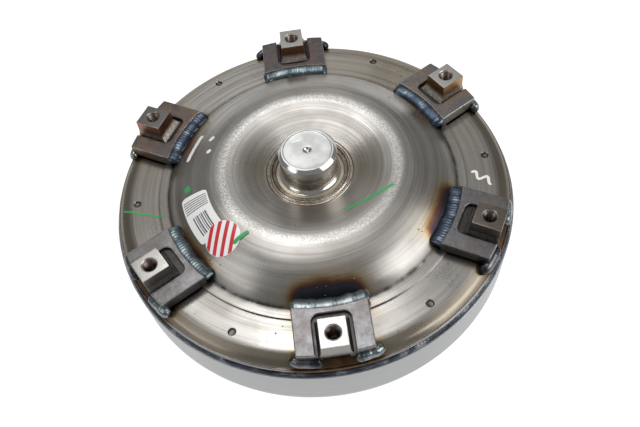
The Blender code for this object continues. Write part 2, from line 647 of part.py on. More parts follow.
def driven_plate(base):
    profile = [(DRIVEN_R1, DRIVEN_Z0), (DRIVEN_R1, DRIVEN_Z1), (DRIVEN_R0, DRIVEN_Z1)]
    profile += [(DRIVEN_FOOT_R0, DRIVEN_FLANGE_Z1), (TURBINE_FLANGE_R0, DRIVEN_FLANGE_Z1)]
    profile += [(TURBINE_FLANGE_R0, DRIVEN_FLANGE_Z0), (DRIVEN_FOOT_R1, DRIVEN_FLANGE_Z0)]
    profile += [(DRIVEN_R0 + DRIVEN_CONE_T, DRIVEN_Z0)]
    body = turned("damper_driven_plate", profile, INNER_SEGMENTS)

    def window(angle):
        return sector(DRIVEN_WINDOW_R0, DRIVEN_WINDOW_R1, angle, DRIVEN_WINDOW_HALF_ANGLE, 4)

    def pin_slot(angle):
        reach = PIN_R + 2.0 * GAP
        return sector(PIN_CIRCLE_R - reach, PIN_CIRCLE_R + reach, angle, PIN_SLOT_HALF_ANGLE, 3)

    low, high = DRIVEN_Z0 - CUT_MARGIN, DRIVEN_Z1 + CUT_MARGIN
    rivets = rivet_holes("plate_holes", DRIVEN_FLANGE_Z0 - CUT_MARGIN, DRIVEN_FLANGE_Z1 + CUT_MARGIN)
    steps = [("DIFFERENCE", copies_round("windows", window, SPRING_COUNT, 0.0, low, high))]
    steps += [("DIFFERENCE", copies_round("pin_slots", pin_slot, PIN_COUNT, PIN_START, low, high))]
    steps += [("DIFFERENCE", rivets)]
    place("damper_driven_plate", combined("damper_driven_plate", body, steps), "pressed_steel", base)


def headed_pin(name, radius, head_r, head_t, z0, z1):
    profile = [(0.0, z0), (head_r, z0), (head_r, z0 + head_t), (radius, z0 + head_t)]
    profile += [(radius, z1 - head_t), (head_r, z1 - head_t), (head_r, z1), (0.0, z1)]
    return turned(name, profile, PIN_SIDES)


def turbine_rivets(base):
    z0 = TURBINE_HUB_FLANGE_Z0 - GAP - RIVET_HEAD_T
    z1 = DRIVEN_FLANGE_Z1 + GAP + RIVET_HEAD_T
    mesh = headed_pin("turbine_rivet", RIVET_R, RIVET_HEAD_R, RIVET_HEAD_T, z0, z1)
    for i in range(RIVET_COUNT):
        x, y = polar(RIVET_CIRCLE_R, 360.0 * i / RIVET_COUNT)
        place("turbine_rivet_{}".format(i + 1), mesh, "bearing_steel", base, 0.0, (x, y, 0.0))


# ---------------------------------------------------------------- damper and lock-up piston

def spring_mesh():
    """A straight coil spring along its own Y axis, with closed wire ends."""
    sides = WIRE_SIDES
    steps = int(SPRING_TURNS * WIRE_STEPS)
    run = SPRING_LENGTH - 2.0 * SPRING_WIRE_R
    shape = bmesh.new()
    loops = []
    for i in range(steps + 1):
        share = i / steps
        angle = 2.0 * math.pi * SPRING_TURNS * share
        outward = Vector((math.cos(angle), 0.0, math.sin(angle)))
        centre = outward * SPRING_COIL_R + Vector((0.0, run * (share - 0.5), 0.0))
        loop = []
        for k in range(sides):
            a, b = polar(SPRING_WIRE_R, 360.0 * k / sides)
            loop.append(shape.verts.new(centre + outward * a + Vector((0.0, b, 0.0))))
        loops.append(loop)
    for loop, following in zip(loops, loops[1:]):
        for k in range(sides):
            j = (k + 1) % sides
            shape.faces.new((loop[k], loop[j], following[j], following[k]))
    shape.faces.new(loops[0])
    shape.faces.new(loops[-1])
    return mesh_from_bmesh(shape, "damper_spring")


def damper_springs(base):
    mesh = spring_mesh()
    for i in range(SPRING_COUNT):
        angle = 360.0 * i / SPRING_COUNT
        x, y = polar(SPRING_CIRCLE_R, angle)
        place("damper_spring_{}".format(i + 1), mesh, "spring_steel", base, angle, (x, y, SPRING_Z))


def plate_windows(name, z0, z1):
    inner, outer = SPRING_CIRCLE_R - WINDOW_HALF_WIDTH, SPRING_CIRCLE_R + WINDOW_HALF_WIDTH
    box = rectangle(inner, outer, WINDOW_HALF_LENGTH)

    def window(angle):
        return turned_outline(box, angle)

    return copies_round(name, window, SPRING_COUNT, 0.0, z0, z1)


def pin_holes(name, z0, z1):
    def hole(angle):
        return disc_outline(polar(PIN_CIRCLE_R, angle), PIN_R + 3.0 * GAP, HOLE_SIDES)
    return copies_round(name, hole, PIN_COUNT, PIN_START, z0, z1)


def damper_front_plate(base):
    z0, z1 = FRONT_PLATE_Z0, FRONT_PLATE_Z1
    body = washer("damper_front_plate", PLATE_R0, FRONT_PLATE_R1, z0, z1, INNER_SEGMENTS)
    low, high = z0 - CUT_MARGIN, z1 + CUT_MARGIN
    steps = [("DIFFERENCE", plate_windows("windows", low, high)), ("DIFFERENCE", pin_holes("holes", low, high))]
    place("damper_front_plate", combined("damper_front_plate", body, steps), "pressed_steel", base)


def damper_rear_plate(base):
    """The plate that the piston turns: its outer teeth sit in the notches of the piston's rim."""
    profile = [(PLATE_R0, REAR_PLATE_Z0), (REAR_PLATE_R0, REAR_PLATE_Z0), (REAR_RING_R0, REAR_RING_Z0)]
    profile += [(REAR_RING_R1, REAR_RING_Z0), (REAR_RING_R1, REAR_RING_Z1), (REAR_RING_R0, REAR_RING_Z1)]
    profile += [(REAR_PLATE_R1, REAR_PLATE_Z1), (PLATE_R0, REAR_PLATE_Z1)]
    body = turned("damper_rear_plate", profile, INNER_SEGMENTS)
    low, high = REAR_PLATE_Z0 - CUT_MARGIN, REAR_PLATE_Z1 + CUT_MARGIN

    def tooth(angle):
        return turned_outline(rectangle(REAR_RING_R1 - TOOTH_ROOT, TOOTH_R, TOOTH_HALF_WIDTH), angle)

    teeth = copies_round("teeth", tooth, TOOTH_COUNT, TOOTH_START, REAR_RING_Z0, REAR_RING_Z1)
    steps = [("UNION", teeth), ("DIFFERENCE", plate_windows("windows", low, high))]
    steps += [("DIFFERENCE", pin_holes("holes", low, high))]
    place("damper_rear_plate", combined("damper_rear_plate", body, steps), "pressed_steel", base)


def damper_pins(base):
    z0, z1 = REAR_PLATE_Z0 - GAP - PIN_HEAD_T, FRONT_PLATE_Z1 + GAP + PIN_HEAD_T
    mesh = headed_pin("damper_pin", PIN_R, PIN_HEAD_R, PIN_HEAD_T, z0, z1)
    for i in range(PIN_COUNT):
        x, y = polar(PIN_CIRCLE_R, PIN_START + 360.0 * i / PIN_COUNT)
        place("damper_pin_{}".format(i + 1), mesh, "bearing_steel", base, 0.0, (x, y, 0.0))


def lockup_piston(base):
    collar = [(PISTON_BORE_R, PISTON_COLLAR_Z1), (PISTON_BORE_R, PISTON_COLLAR_Z0)]
    collar += [(PISTON_COLLAR_R, PISTON_COLLAR_Z0)]
    rim = [(PISTON_RIM_R0, PISTON_TOP_Z - PISTON_T), (PISTON_RIM_R0, PISTON_RIM_Z)]
    rim += [(PISTON_RIM_R1, PISTON_RIM_Z), (PISTON_RIM_R1, PISTON_TOP_Z)]
    body = turned("lockup_piston", PISTON_TOP + collar + PISTON_UNDER + rim, INNER_SEGMENTS)
    cut = rectangle(PISTON_RIM_R0 - TOOTH_ROOT, PISTON_RIM_R1 + CUT_MARGIN, TOOTH_HALF_WIDTH + TOOTH_CLEARANCE)

    def notch(angle):
        return turned_outline(cut, angle)

    notch_top_z = PISTON_TOP_Z - PISTON_T - 2.0 * GAP
    below_z = PISTON_RIM_Z - CUT_MARGIN
    notches = copies_round("notches", notch, TOOTH_COUNT, TOOTH_START, below_z, notch_top_z)
    place("lockup_piston", combined("lockup_piston", body, [("DIFFERENCE", notches)]), "pressed_steel", base)


# ---------------------------------------------------------------- stator and one-way clutch

def stator_vane(start):
    """A twisted stator blade from the hub to the outer ring."""
    steps = 2
    top, bottom = STATOR_BLADE_Z1 - STATOR_BLADE_INSET, STATOR_BLADE_Z0 + STATOR_BLADE_INSET
    root, tip = STATOR_HUB_R - STATOR_ROOT, STATOR_RING_R0 + STATOR_TIP
    shape = bmesh.new()
    sections = []
    for i in range(steps + 1):
        share = i / steps
        bend = start + STATOR_BLADE_TURN * share * share
        section = []
        for radius, side in ((root, -1), (tip, -1), (tip, 1), (root, 1)):
            x, y = polar(radius, bend + side * math.degrees(STATOR_BLADE_T / 2.0 / radius))
            section.append(shape.verts.new((x, y, top + (bottom - top) * share)))
        sections.append(section)
    for section, following in zip(sections, sections[1:]):
        for k in range(4):
            j = (k + 1) % 4
            shape.faces.new((section[k], section[j], following[j], following[k]))
    shape.faces.new(sections[0])
    shape.faces.new(sections[-1])
    bmesh.ops.triangulate(shape, faces=shape.faces)
    return mesh_from_bmesh(shape, "stator_vane")


def stator_wheel(base):
    hub = [(STATOR_BORE_R, STATOR_HUB_Z1), (STATOR_BORE_R, SNAP_Z1 + GAP), (SNAP_GROOVE_R, SNAP_Z1 + GAP)]
    hub += [(SNAP_GROOVE_R, SNAP_Z0 - GAP), (STATOR_BORE_R, SNAP_Z0 - GAP), (STATOR_BORE_R, STATOR_HUB_Z0)]
    hub += [(STATOR_HUB_R - STATOR_TAIL, STATOR_HUB_Z0), (STATOR_HUB_R, STATOR_BLADE_Z0)]
    hub += [(STATOR_HUB_R, STATOR_BLADE_Z1), (STATOR_HUB_R - STATOR_NOSE, STATOR_NOSE_Z)]
    body = turned("stator_wheel", hub, INNER_SEGMENTS)
    rim = washer("rim", STATOR_RING_R0, STATOR_RING_R1, STATOR_BLADE_Z0, STATOR_BLADE_Z1, INNER_SEGMENTS)
    vanes = [stator_vane(360.0 * i / STATOR_BLADES) for i in range(STATOR_BLADES)]
    steps = [("UNION", joined("vanes", vanes)), ("UNION", rim)]
    place("stator_wheel", combined("stator_wheel", body, steps), "cast_aluminium", base)


def clutch_outer_race(base):
    """The cam race: each of its ramps narrows in one direction, so that the rollers jam only that way."""
    count = ROLLER_COUNT * RAMP_POINTS
    outer, inner = [], []
    for i in range(count):
        angle = 360.0 * (i - (RAMP_POINTS - 1) / 2.0) / count
        share = (i % RAMP_POINTS) / (RAMP_POINTS - 1)
        outer.append(polar(OUTER_RACE_R, angle))
        inner.append(polar(CAM_HIGH_R + (CAM_LOW_R - CAM_HIGH_R) * share, angle))
    mesh = tube_between("clutch_outer_race", outer, inner, CLUTCH_Z0, CLUTCH_Z1)
    place("clutch_outer_race", mesh, "bearing_steel", base)


def roller_cage(base):
    body = washer("roller_cage", CAGE_R0, CAGE_R1, CAGE_Z0, CAGE_Z1, SMALL_SEGMENTS)

    def pocket(angle):
        return disc_outline(polar(ROLLER_CIRCLE_R, angle), POCKET_R, POCKET_SIDES)

    pockets = copies_round("pockets", pocket, ROLLER_COUNT, 0.0, ROLLER_Z0 - GAP, ROLLER_Z1 + GAP)
    place("roller_cage", combined("roller_cage", body, [("DIFFERENCE", pockets)]), "brass_cage", base)


def clutch_rollers(base):
    mesh = prism("clutch_roller", disc_outline((0.0, 0.0), ROLLER_R, ROLLER_SIDES), ROLLER_Z0, ROLLER_Z1)
    for i in range(ROLLER_COUNT):
        x, y = polar(ROLLER_CIRCLE_R, 360.0 * i / ROLLER_COUNT)
        place("clutch_roller_{}".format(i + 1), mesh, "bearing_steel", base, 0.0, (x, y, 0.0))


def clutch_inner_race(base):
    points = SPLINE_TEETH * SPLINE_POINTS
    outer = [polar(INNER_RACE_R, 360.0 * i / points) for i in range(points)]
    inner = spline_outline(INNER_SPLINE_R0, INNER_SPLINE_R1, SPLINE_TEETH, points)
    mesh = tube_between("clutch_inner_race", outer, inner, CLUTCH_Z0, CLUTCH_Z1)
    place("clutch_inner_race", mesh, "bearing_steel", base)


def stator_caps(base):
    for name, z0, z1 in (("stator_front_cap", FRONT_CAP_Z0, FRONT_CAP_Z1),
                         ("stator_rear_cap", REAR_CAP_Z0, REAR_CAP_Z1)):
        mesh = washer(name, CAP_BORE_R, OUTER_RACE_R, z0, z1, SMALL_SEGMENTS)
        place(name, mesh, "cast_aluminium", base)


def stator_snap_ring(base):
    outline = sector(SNAP_R0, SNAP_R1, 0.0, 180.0 - SNAP_GAP_ANGLE / 2.0, SMALL_SEGMENTS)
    place("stator_snap_ring", prism("stator_snap_ring", outline, SNAP_Z0, SNAP_Z1), "spring_steel", base)


# ---------------------------------------------------------------- thrust bearings

def needle(angle, r0, r1, z):
    """One needle roller, lying along a radius."""
    shape = bmesh.new()
    outward = Vector((*polar(1.0, angle), 0.0))
    across = Vector((-outward.y, outward.x, 0.0))
    loops = []
    for radius in (r0, r1):
        loop = []
        for a, b in disc_outline((0.0, z), NEEDLE_R, NEEDLE_SIDES):
            loop.append(shape.verts.new(outward * radius + across * a + Vector((0.0, 0.0, b))))
        loops.append(loop)
    for k in range(NEEDLE_SIDES):
        j = (k + 1) % NEEDLE_SIDES
        shape.faces.new((loops[0][k], loops[0][j], loops[1][j], loops[1][k]))
    shape.faces.new(loops[0])
    shape.faces.new(loops[1])
    return mesh_from_bmesh(shape, "needle")


def thrust_bearing(name, sizes, base):
    r0, r1, race_z0, race_z1, cage_z0, cage_z1 = sizes
    race = washer(name + "_race", r0, r1, race_z0, race_z1, SMALL_SEGMENTS)
    place(name + "_race", race, "bearing_steel", base)
    middle = (cage_z0 + cage_z1) / 2.0
    half = CAGE_PLATE_T / 2.0
    cage_r0, cage_r1 = r0 + CAGE_INSET, r1 - CAGE_INSET
    plate = washer(name + "_cage", cage_r0, cage_r1, middle - half, middle + half, SMALL_SEGMENTS)
    needles = []
    for i in range(NEEDLE_COUNT):
        angle = 360.0 * (i + 0.25) / NEEDLE_COUNT
        needles.append(needle(angle, r0 + NEEDLE_INSET, r1 - NEEDLE_INSET, middle))
    mesh = combined(name + "_cage", plate, [("UNION", joined(name + "_needles", needles))])
    place(name + "_cage", mesh, "bearing_steel", base)


def seal_and_lining(base):
    seal_r0, seal_r1 = SEAL_GROOVE_R + GAP, PISTON_BORE_R - GAP
    seal = washer("piston_seal_ring", seal_r0, seal_r1, SEAL_Z0 + GAP, SEAL_Z1 - GAP, SMALL_SEGMENTS)
    place("piston_seal_ring", seal, "seal_polymer", base)
    lining = washer("friction_lining", LINING_R0, LINING_R1, LINING_Z0, LINING_Z1, INNER_SEGMENTS)
    place("friction_lining", lining, "friction_paper", base)


def main():
    clear_scene()
    base = bpy.data.objects.new("flange_plane", None)
    bpy.context.scene.collection.objects.link(base)
    base.location = (0.0, 0.0, FLANGE_HEIGHT * MM)

    front_cover(base)
    pilot_hub(base)
    drive_lugs(base)
    closure_weld(base)
    impeller_shell(base)
    impeller_hub(base)
    pump_radii = (PUMP_RX - BLADE_CLEARANCE, PUMP_RZ - BLADE_CLEARANCE)
    bladed_ring("impeller_blades", SPLIT_Z - 2.0 * GAP, -1.0, pump_radii, PUMP_BLADE_ENDS, PUMP_BLADE_TURN,
                PUMP_BLADES, base)
    balance_weight(base)

    turbine_shell(base)
    turbine_radii = (TURBINE_RX - TURBINE_T - BLADE_CLEARANCE, TURBINE_RZ - TURBINE_T - BLADE_CLEARANCE)
    bladed_ring("turbine_blades", TURBINE_MID_Z, 1.0, turbine_radii, TURBINE_BLADE_ENDS, TURBINE_BLADE_TURN,
                TURBINE_BLADES, base)
    turbine_hub(base)
    driven_plate(base)
    turbine_rivets(base)

    damper_front_plate(base)
    damper_rear_plate(base)
    damper_springs(base)
    damper_pins(base)
    lockup_piston(base)
    seal_and_lining(base)

    stator_wheel(base)
    clutch_outer_race(base)
    roller_cage(base)
    clutch_rollers(base)
    clutch_inner_race(base)
    stator_caps(base)
    stator_snap_ring(base)

    thrust_bearing("front_bearing", FRONT_BEARING, base)
    thrust_bearing("middle_bearing", MIDDLE_BEARING, base)
    thrust_bearing("rear_bearing", REAR_BEARING, base)


main()
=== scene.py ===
"""The looks of the torque converter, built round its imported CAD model.

Shapes below are in millimetres, with heights measured from the front cover's flange plane, which comes
from the CAD model. The shaft axis is Z. Every piece here rides on the welded housing; the CAD nodes inside
it stay as they are and get procedural finishes.
"""
import json
import math
import random

import bmesh
import bpy
import numpy as np
from mathutils import Matrix, Vector


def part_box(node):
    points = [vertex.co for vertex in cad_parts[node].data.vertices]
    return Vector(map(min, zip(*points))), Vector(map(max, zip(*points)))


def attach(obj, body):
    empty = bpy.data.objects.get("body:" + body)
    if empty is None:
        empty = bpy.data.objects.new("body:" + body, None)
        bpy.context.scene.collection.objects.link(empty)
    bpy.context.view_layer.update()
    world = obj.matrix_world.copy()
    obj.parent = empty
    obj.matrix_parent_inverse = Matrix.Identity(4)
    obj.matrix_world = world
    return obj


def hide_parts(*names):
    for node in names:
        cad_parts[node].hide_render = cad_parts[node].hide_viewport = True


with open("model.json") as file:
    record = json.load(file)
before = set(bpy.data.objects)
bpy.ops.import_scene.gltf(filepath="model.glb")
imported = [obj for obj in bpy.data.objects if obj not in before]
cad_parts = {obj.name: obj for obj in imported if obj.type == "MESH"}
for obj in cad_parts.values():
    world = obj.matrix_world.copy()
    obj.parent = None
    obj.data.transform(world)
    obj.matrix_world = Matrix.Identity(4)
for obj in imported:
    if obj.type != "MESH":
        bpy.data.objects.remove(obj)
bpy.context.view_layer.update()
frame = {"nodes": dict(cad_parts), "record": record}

MM = 0.001
SKIRT_DEPTH = 24.0
FLANGE_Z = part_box("front_cover")[0].z + SKIRT_DEPTH * MM
HUB_END = (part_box("impeller_hub")[0].z - FLANGE_Z) / MM
PILOT_TOP = (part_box("pilot_hub")[1].z - FLANGE_Z) / MM
DRUM_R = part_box("impeller_shell")[1].x / MM
BOSS_TOP = (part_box("drive_lug_1")[1].z - FLANGE_Z) / MM

LUG_ANGLES = []
for mount in frame["record"]["mounts"]:
    if mount["name"].startswith("flexplate_face"):
        place = mount["pos_m"]
        LUG_ANGLES.append(math.degrees(math.atan2(place[1], place[0])))

FINE_SEGMENTS = 360
ROUND_SEGMENTS = 96
LONGEST_STEP = 2.0              # longest run between rings on a visible face
WELD_SHARP = 75.0               # weld ripples stay smooth up to this angle
FILM_SHARP = 50.0

# Drive lug, in its own frame: x outwards, y along the bolt circle
BOLT_R = 136.525
LUG_BOTTOM, LUG_PLATE, LUG_FLOOR = 1.8, 10.5, 7.6
LUG_HALF = 26.2
LUG_INNER_R, LUG_OUTER_R = 113.2, 147.2
BOSS_X0, BOSS_X1, BOSS_HALF, BOSS_FLARE = 126.0, 146.6, 9.3, 1.6
RECESS_X0, RECESS_HALF, RECESS_CORNER = 117.4, 13.4, 5.0
THREAD_MINOR_R, THREAD_MAJOR_R, THREAD_PITCH = 4.25, 5.0, 1.5
COUNTERSINK_R = 5.9

# The dome's profile, as (radius, height, corner cut-back)
DOME = [(30.0, 11.5, 0.5), (36.0, 13.0, 1.5), (45.0, 15.8, 1.2), (57.0, 19.7, 5.0), (67.0, 21.0, 4.6),
        (80.0, 19.6, 6.0), (92.0, 15.3, 5.5), (104.0, 8.4, 3.2), (109.0, 3.2, 2.2)]
STEP = [(110.5, 1.5, 0.8), (117.6, 1.5, 0.3), (118.0, 0.0, 0.2)]
RIM = [(139.5, 0.0, 2.0), (146.4, -2.1, 1.8), (149.3, -4.9, 0.4), (149.6, -5.8, 0.2), (150.3, -5.8, 0.2),
       (151.0, -6.5, 0.5), (151.0, -8.2, 0.2)]
COVER_BACK = [(148.7, -8.2, 0.0), (148.7, -24.0, 0.4), (144.2, -24.0, 0.4), (144.2, -10.0, 1.0),
              (141.0, -5.0, 1.0), (106.0, -5.0, 1.0), (98.0, 5.0, 1.0), (84.0, 13.0, 1.0),
              (67.0, 16.0, 1.0), (45.0, 10.8, 1.0), (30.0, 6.5, 0.4)]


# ------------------------------------------------------------------ geometry

def polar(radius, degrees):
    """The (x, y) of a radius and an azimuth."""
    angle = math.radians(degrees)
    return radius * math.cos(angle), radius * math.sin(angle)


def rounded(corners, steps=4, closed=True):
    """An outline whose (x, y, cut) corners become short curves that start cut away from each corner."""
    outline = []
    count = len(corners)
    for i, (x, y, cut) in enumerate(corners):
        here = Vector((x, y))
        if cut <= 0.0 or (not closed and i in (0, count - 1)):
            outline.append((x, y))
            continue
        before = Vector(corners[i - 1][:2]) - here
        after = Vector(corners[(i + 1) % count][:2]) - here
        start = here + before.normalized() * min(cut, before.length * 0.48)
        end = here + after.normalized() * min(cut, after.length * 0.48)
        for k in range(steps + 1):
            t = k / steps
            point = start * (1.0 - t) ** 2 + here * 2.0 * t * (1.0 - t) + end * t * t
            outline.append((point.x, point.y))
    return outline


def divided(outline, longest, closed=True):
    """The outline with extra points, so that no run is longer than the given length."""
    points = []
    count = len(outline)
    for i in range(count if closed else count - 1):
        a, b = Vector(outline[i]), Vector(outline[(i + 1) % count])
        parts = max(1, math.ceil((b - a).length / longest))
        for k in range(parts):
            point = a.lerp(b, k / parts)
            points.append((point.x, point.y))
    if not closed:
        points.append(outline[-1])
    return points


def dome_height(radius):
    """Height of the cover's outer face at a radius."""
    return float(np.interp(radius, COVER_RADII, COVER_HEIGHTS))


COVER_FACE = rounded(DOME + STEP + RIM, closed=False)
COVER_RADII = [point[0] for point in COVER_FACE]
COVER_HEIGHTS = [point[1] for point in COVER_FACE]


def new_object(name, data):
    """A new object in the scene."""
    obj = bpy.data.objects.new(name, data)
    bpy.context.scene.collection.objects.link(obj)
    return obj


def finish_mesh(mesh, sharp=32.0):
    """Merges doubled points and sets normals and sharp edges."""
    mesh.validate()
    shape = bmesh.new()
    shape.from_mesh(mesh)
    bmesh.ops.remove_doubles(shape, verts=shape.verts, dist=1e-7)
    bmesh.ops.recalc_face_normals(shape, faces=shape.faces)
    shape.to_mesh(mesh)
    shape.free()
    mesh.shade_smooth()
    mesh.set_sharp_from_angle(angle=math.radians(sharp))
    return mesh


def mesh_of(name, points, faces, sharp=32.0):
    """A finished mesh from points in millimetres."""
    mesh = bpy.data.meshes.new(name)
    mesh.from_pydata([tuple(MM * c for c in point) for point in points], [], faces)
    return finish_mesh(mesh, sharp)


def grid_faces(rows, columns, close_rows, close_columns):
    """The quads of a grid of points, which may close on itself in either direction."""
    faces = []
    for i in range(rows if close_rows else rows - 1):
        for j in range(columns if close_columns else columns - 1):
            k, m = (i + 1) % rows, (j + 1) % columns
            faces.append((i * columns + j, i * columns + m, k * columns + m, k * columns + j))
    return faces


def rectangle(x0, x1, half):
    """The corners of a rectangle that lies evenly about the X axis."""
    return [(x0, -half), (x1, -half), (x1, half), (x0, half)]


def tube_faces(rings, sides):
    """The faces of a closed tube of point rings, with its two end caps."""
    faces = grid_faces(rings, sides, False, True)
    faces.append(tuple(range(sides)))
    faces.append(tuple((rings - 1) * sides + k for k in range(sides)))
    return faces


def film_faces(rows, columns):
    """The faces of a thin closed film: a grid, the same grid behind it, and the border between them."""
    count = rows * columns
    faces = grid_faces(rows, columns, False, False)
    faces += [tuple(count + index for index in reversed(face)) for face in faces]
    border = list(range(columns)) + [i * columns + columns - 1 for i in range(1, rows)]
    border += [(rows - 1) * columns + k for k in range(columns - 2, -1, -1)]
    border += [i * columns for i in range(rows - 2, 0, -1)]
    for a, b in zip(border, border[1:] + border[:1]):
        faces.append((b, a, count + a, count + b))
    return faces


def film_mesh(name, rows, columns, point_at):
    """A thin closed film; point_at(u, v, layer) gives a point for u and v from 0 to 1 and layer 0 or 1."""
    points = []
    for layer in (0, 1):
        for i in range(rows):
            for k in range(columns):
                points.append(point_at(k / (columns - 1), i / (rows - 1), layer))
    return mesh_of(name, points, film_faces(rows, columns), FILM_SHARP)


def turned(name, outline, segments=FINE_SEGMENTS, shift=None, sharp=32.0):
    """A closed (r, z) outline turned round Z. shift moves the rings' (r, z) by angle, for welds and dents."""
    profile = np.array(outline, float)
    angles = np.arange(segments) * 2.0 * math.pi / segments
    r = np.repeat(profile[:, :1], segments, axis=1)
    z = np.repeat(profile[:, 1:], segments, axis=1)
    a = np.repeat(angles[None, :], len(profile), axis=0)
    if shift is not None:
        r, z = shift(r, z, a)
    points = np.stack([r * np.cos(a), r * np.sin(a), z], axis=2).reshape(-1, 3)
    return mesh_of(name, points.tolist(), grid_faces(len(profile), segments, True, True), sharp)


def prism(name, outline, z0, z1, bevel=0.0):
    """A solid between two heights, its upright and upper edges bevelled."""
    points = [(x, y, z) for z in (z0, z1) for x, y in outline]
    mesh = mesh_of(name, points, tube_faces(2, len(outline)))
    if bevel > 0.0:
        shape = bmesh.new()
        shape.from_mesh(mesh)
        edges = []
        for edge in shape.edges:
            high = all(vert.co.z > (z1 - 0.01) * MM for vert in edge.verts)
            sharp_edge = edge.calc_face_angle(0.0) > math.radians(35.0)
            if sharp_edge and (high or abs(edge.verts[0].co.z - edge.verts[1].co.z) > 0.5 * MM):
                edges.append(edge)
        bmesh.ops.bevel(shape, geom=edges, offset=bevel * MM, segments=3, profile=0.5, affect="EDGES",
                        clamp_overlap=True)
        shape.to_mesh(mesh)
        shape.free()
        finish_mesh(mesh)
    return mesh


def boolean(mesh, steps):
    """The mesh after a list of (operation, tool mesh) steps."""
    body = new_object("boolean_body", mesh)
    tools = []
    for operation, tool_mesh in steps:
        tool = new_object("boolean_tool", tool_mesh)
        step = body.modifiers.new("step", "BOOLEAN")
        step.operation = operation
        step.solver = "EXACT"
        step.object = tool
        tools.append(tool)
    bpy.context.view_layer.update()
    result = bpy.data.meshes.new_from_object(body.evaluated_get(bpy.context.evaluated_depsgraph_get()))
    for obj in [body] + tools:
        bpy.data.objects.remove(obj, do_unlink=True)
    return finish_mesh(result)


def joined(name, meshes):
    """One mesh that holds all of the given ones."""
    shape = bmesh.new()
    for mesh in meshes:
        shape.from_mesh(mesh)
    mesh = bpy.data.meshes.new(name)
    shape.to_mesh(mesh)
    shape.free()
    return mesh


def places(mesh):
    """The mesh's points in millimetres, one row each."""
    co = np.zeros(len(mesh.vertices) * 3, np.float32)
    mesh.vertices.foreach_get("co", co)
    return co.reshape(-1, 3) / MM


def piece(name, mesh, material, slot, angle=0.0, replaces=(), flat_normals=False):
    """Add a piece at the flange plane, turned about the shaft axis, riding on the housing."""
    obj = new_object(name, mesh)
    obj.location = (0.0, 0.0, FLANGE_Z)
    obj.rotation_euler = (0.0, 0.0, math.radians(angle))
    obj.data.materials.clear()
    obj.data.materials.append(material)
    if flat_normals:
        weighted = obj.modifiers.new("weighted_normals", "WEIGHTED_NORMAL")
        weighted.keep_sharp = True
    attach(obj, "housing")
    if replaces:
        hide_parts(*replaces)
    return obj


# ------------------------------------------------------------------ node helpers

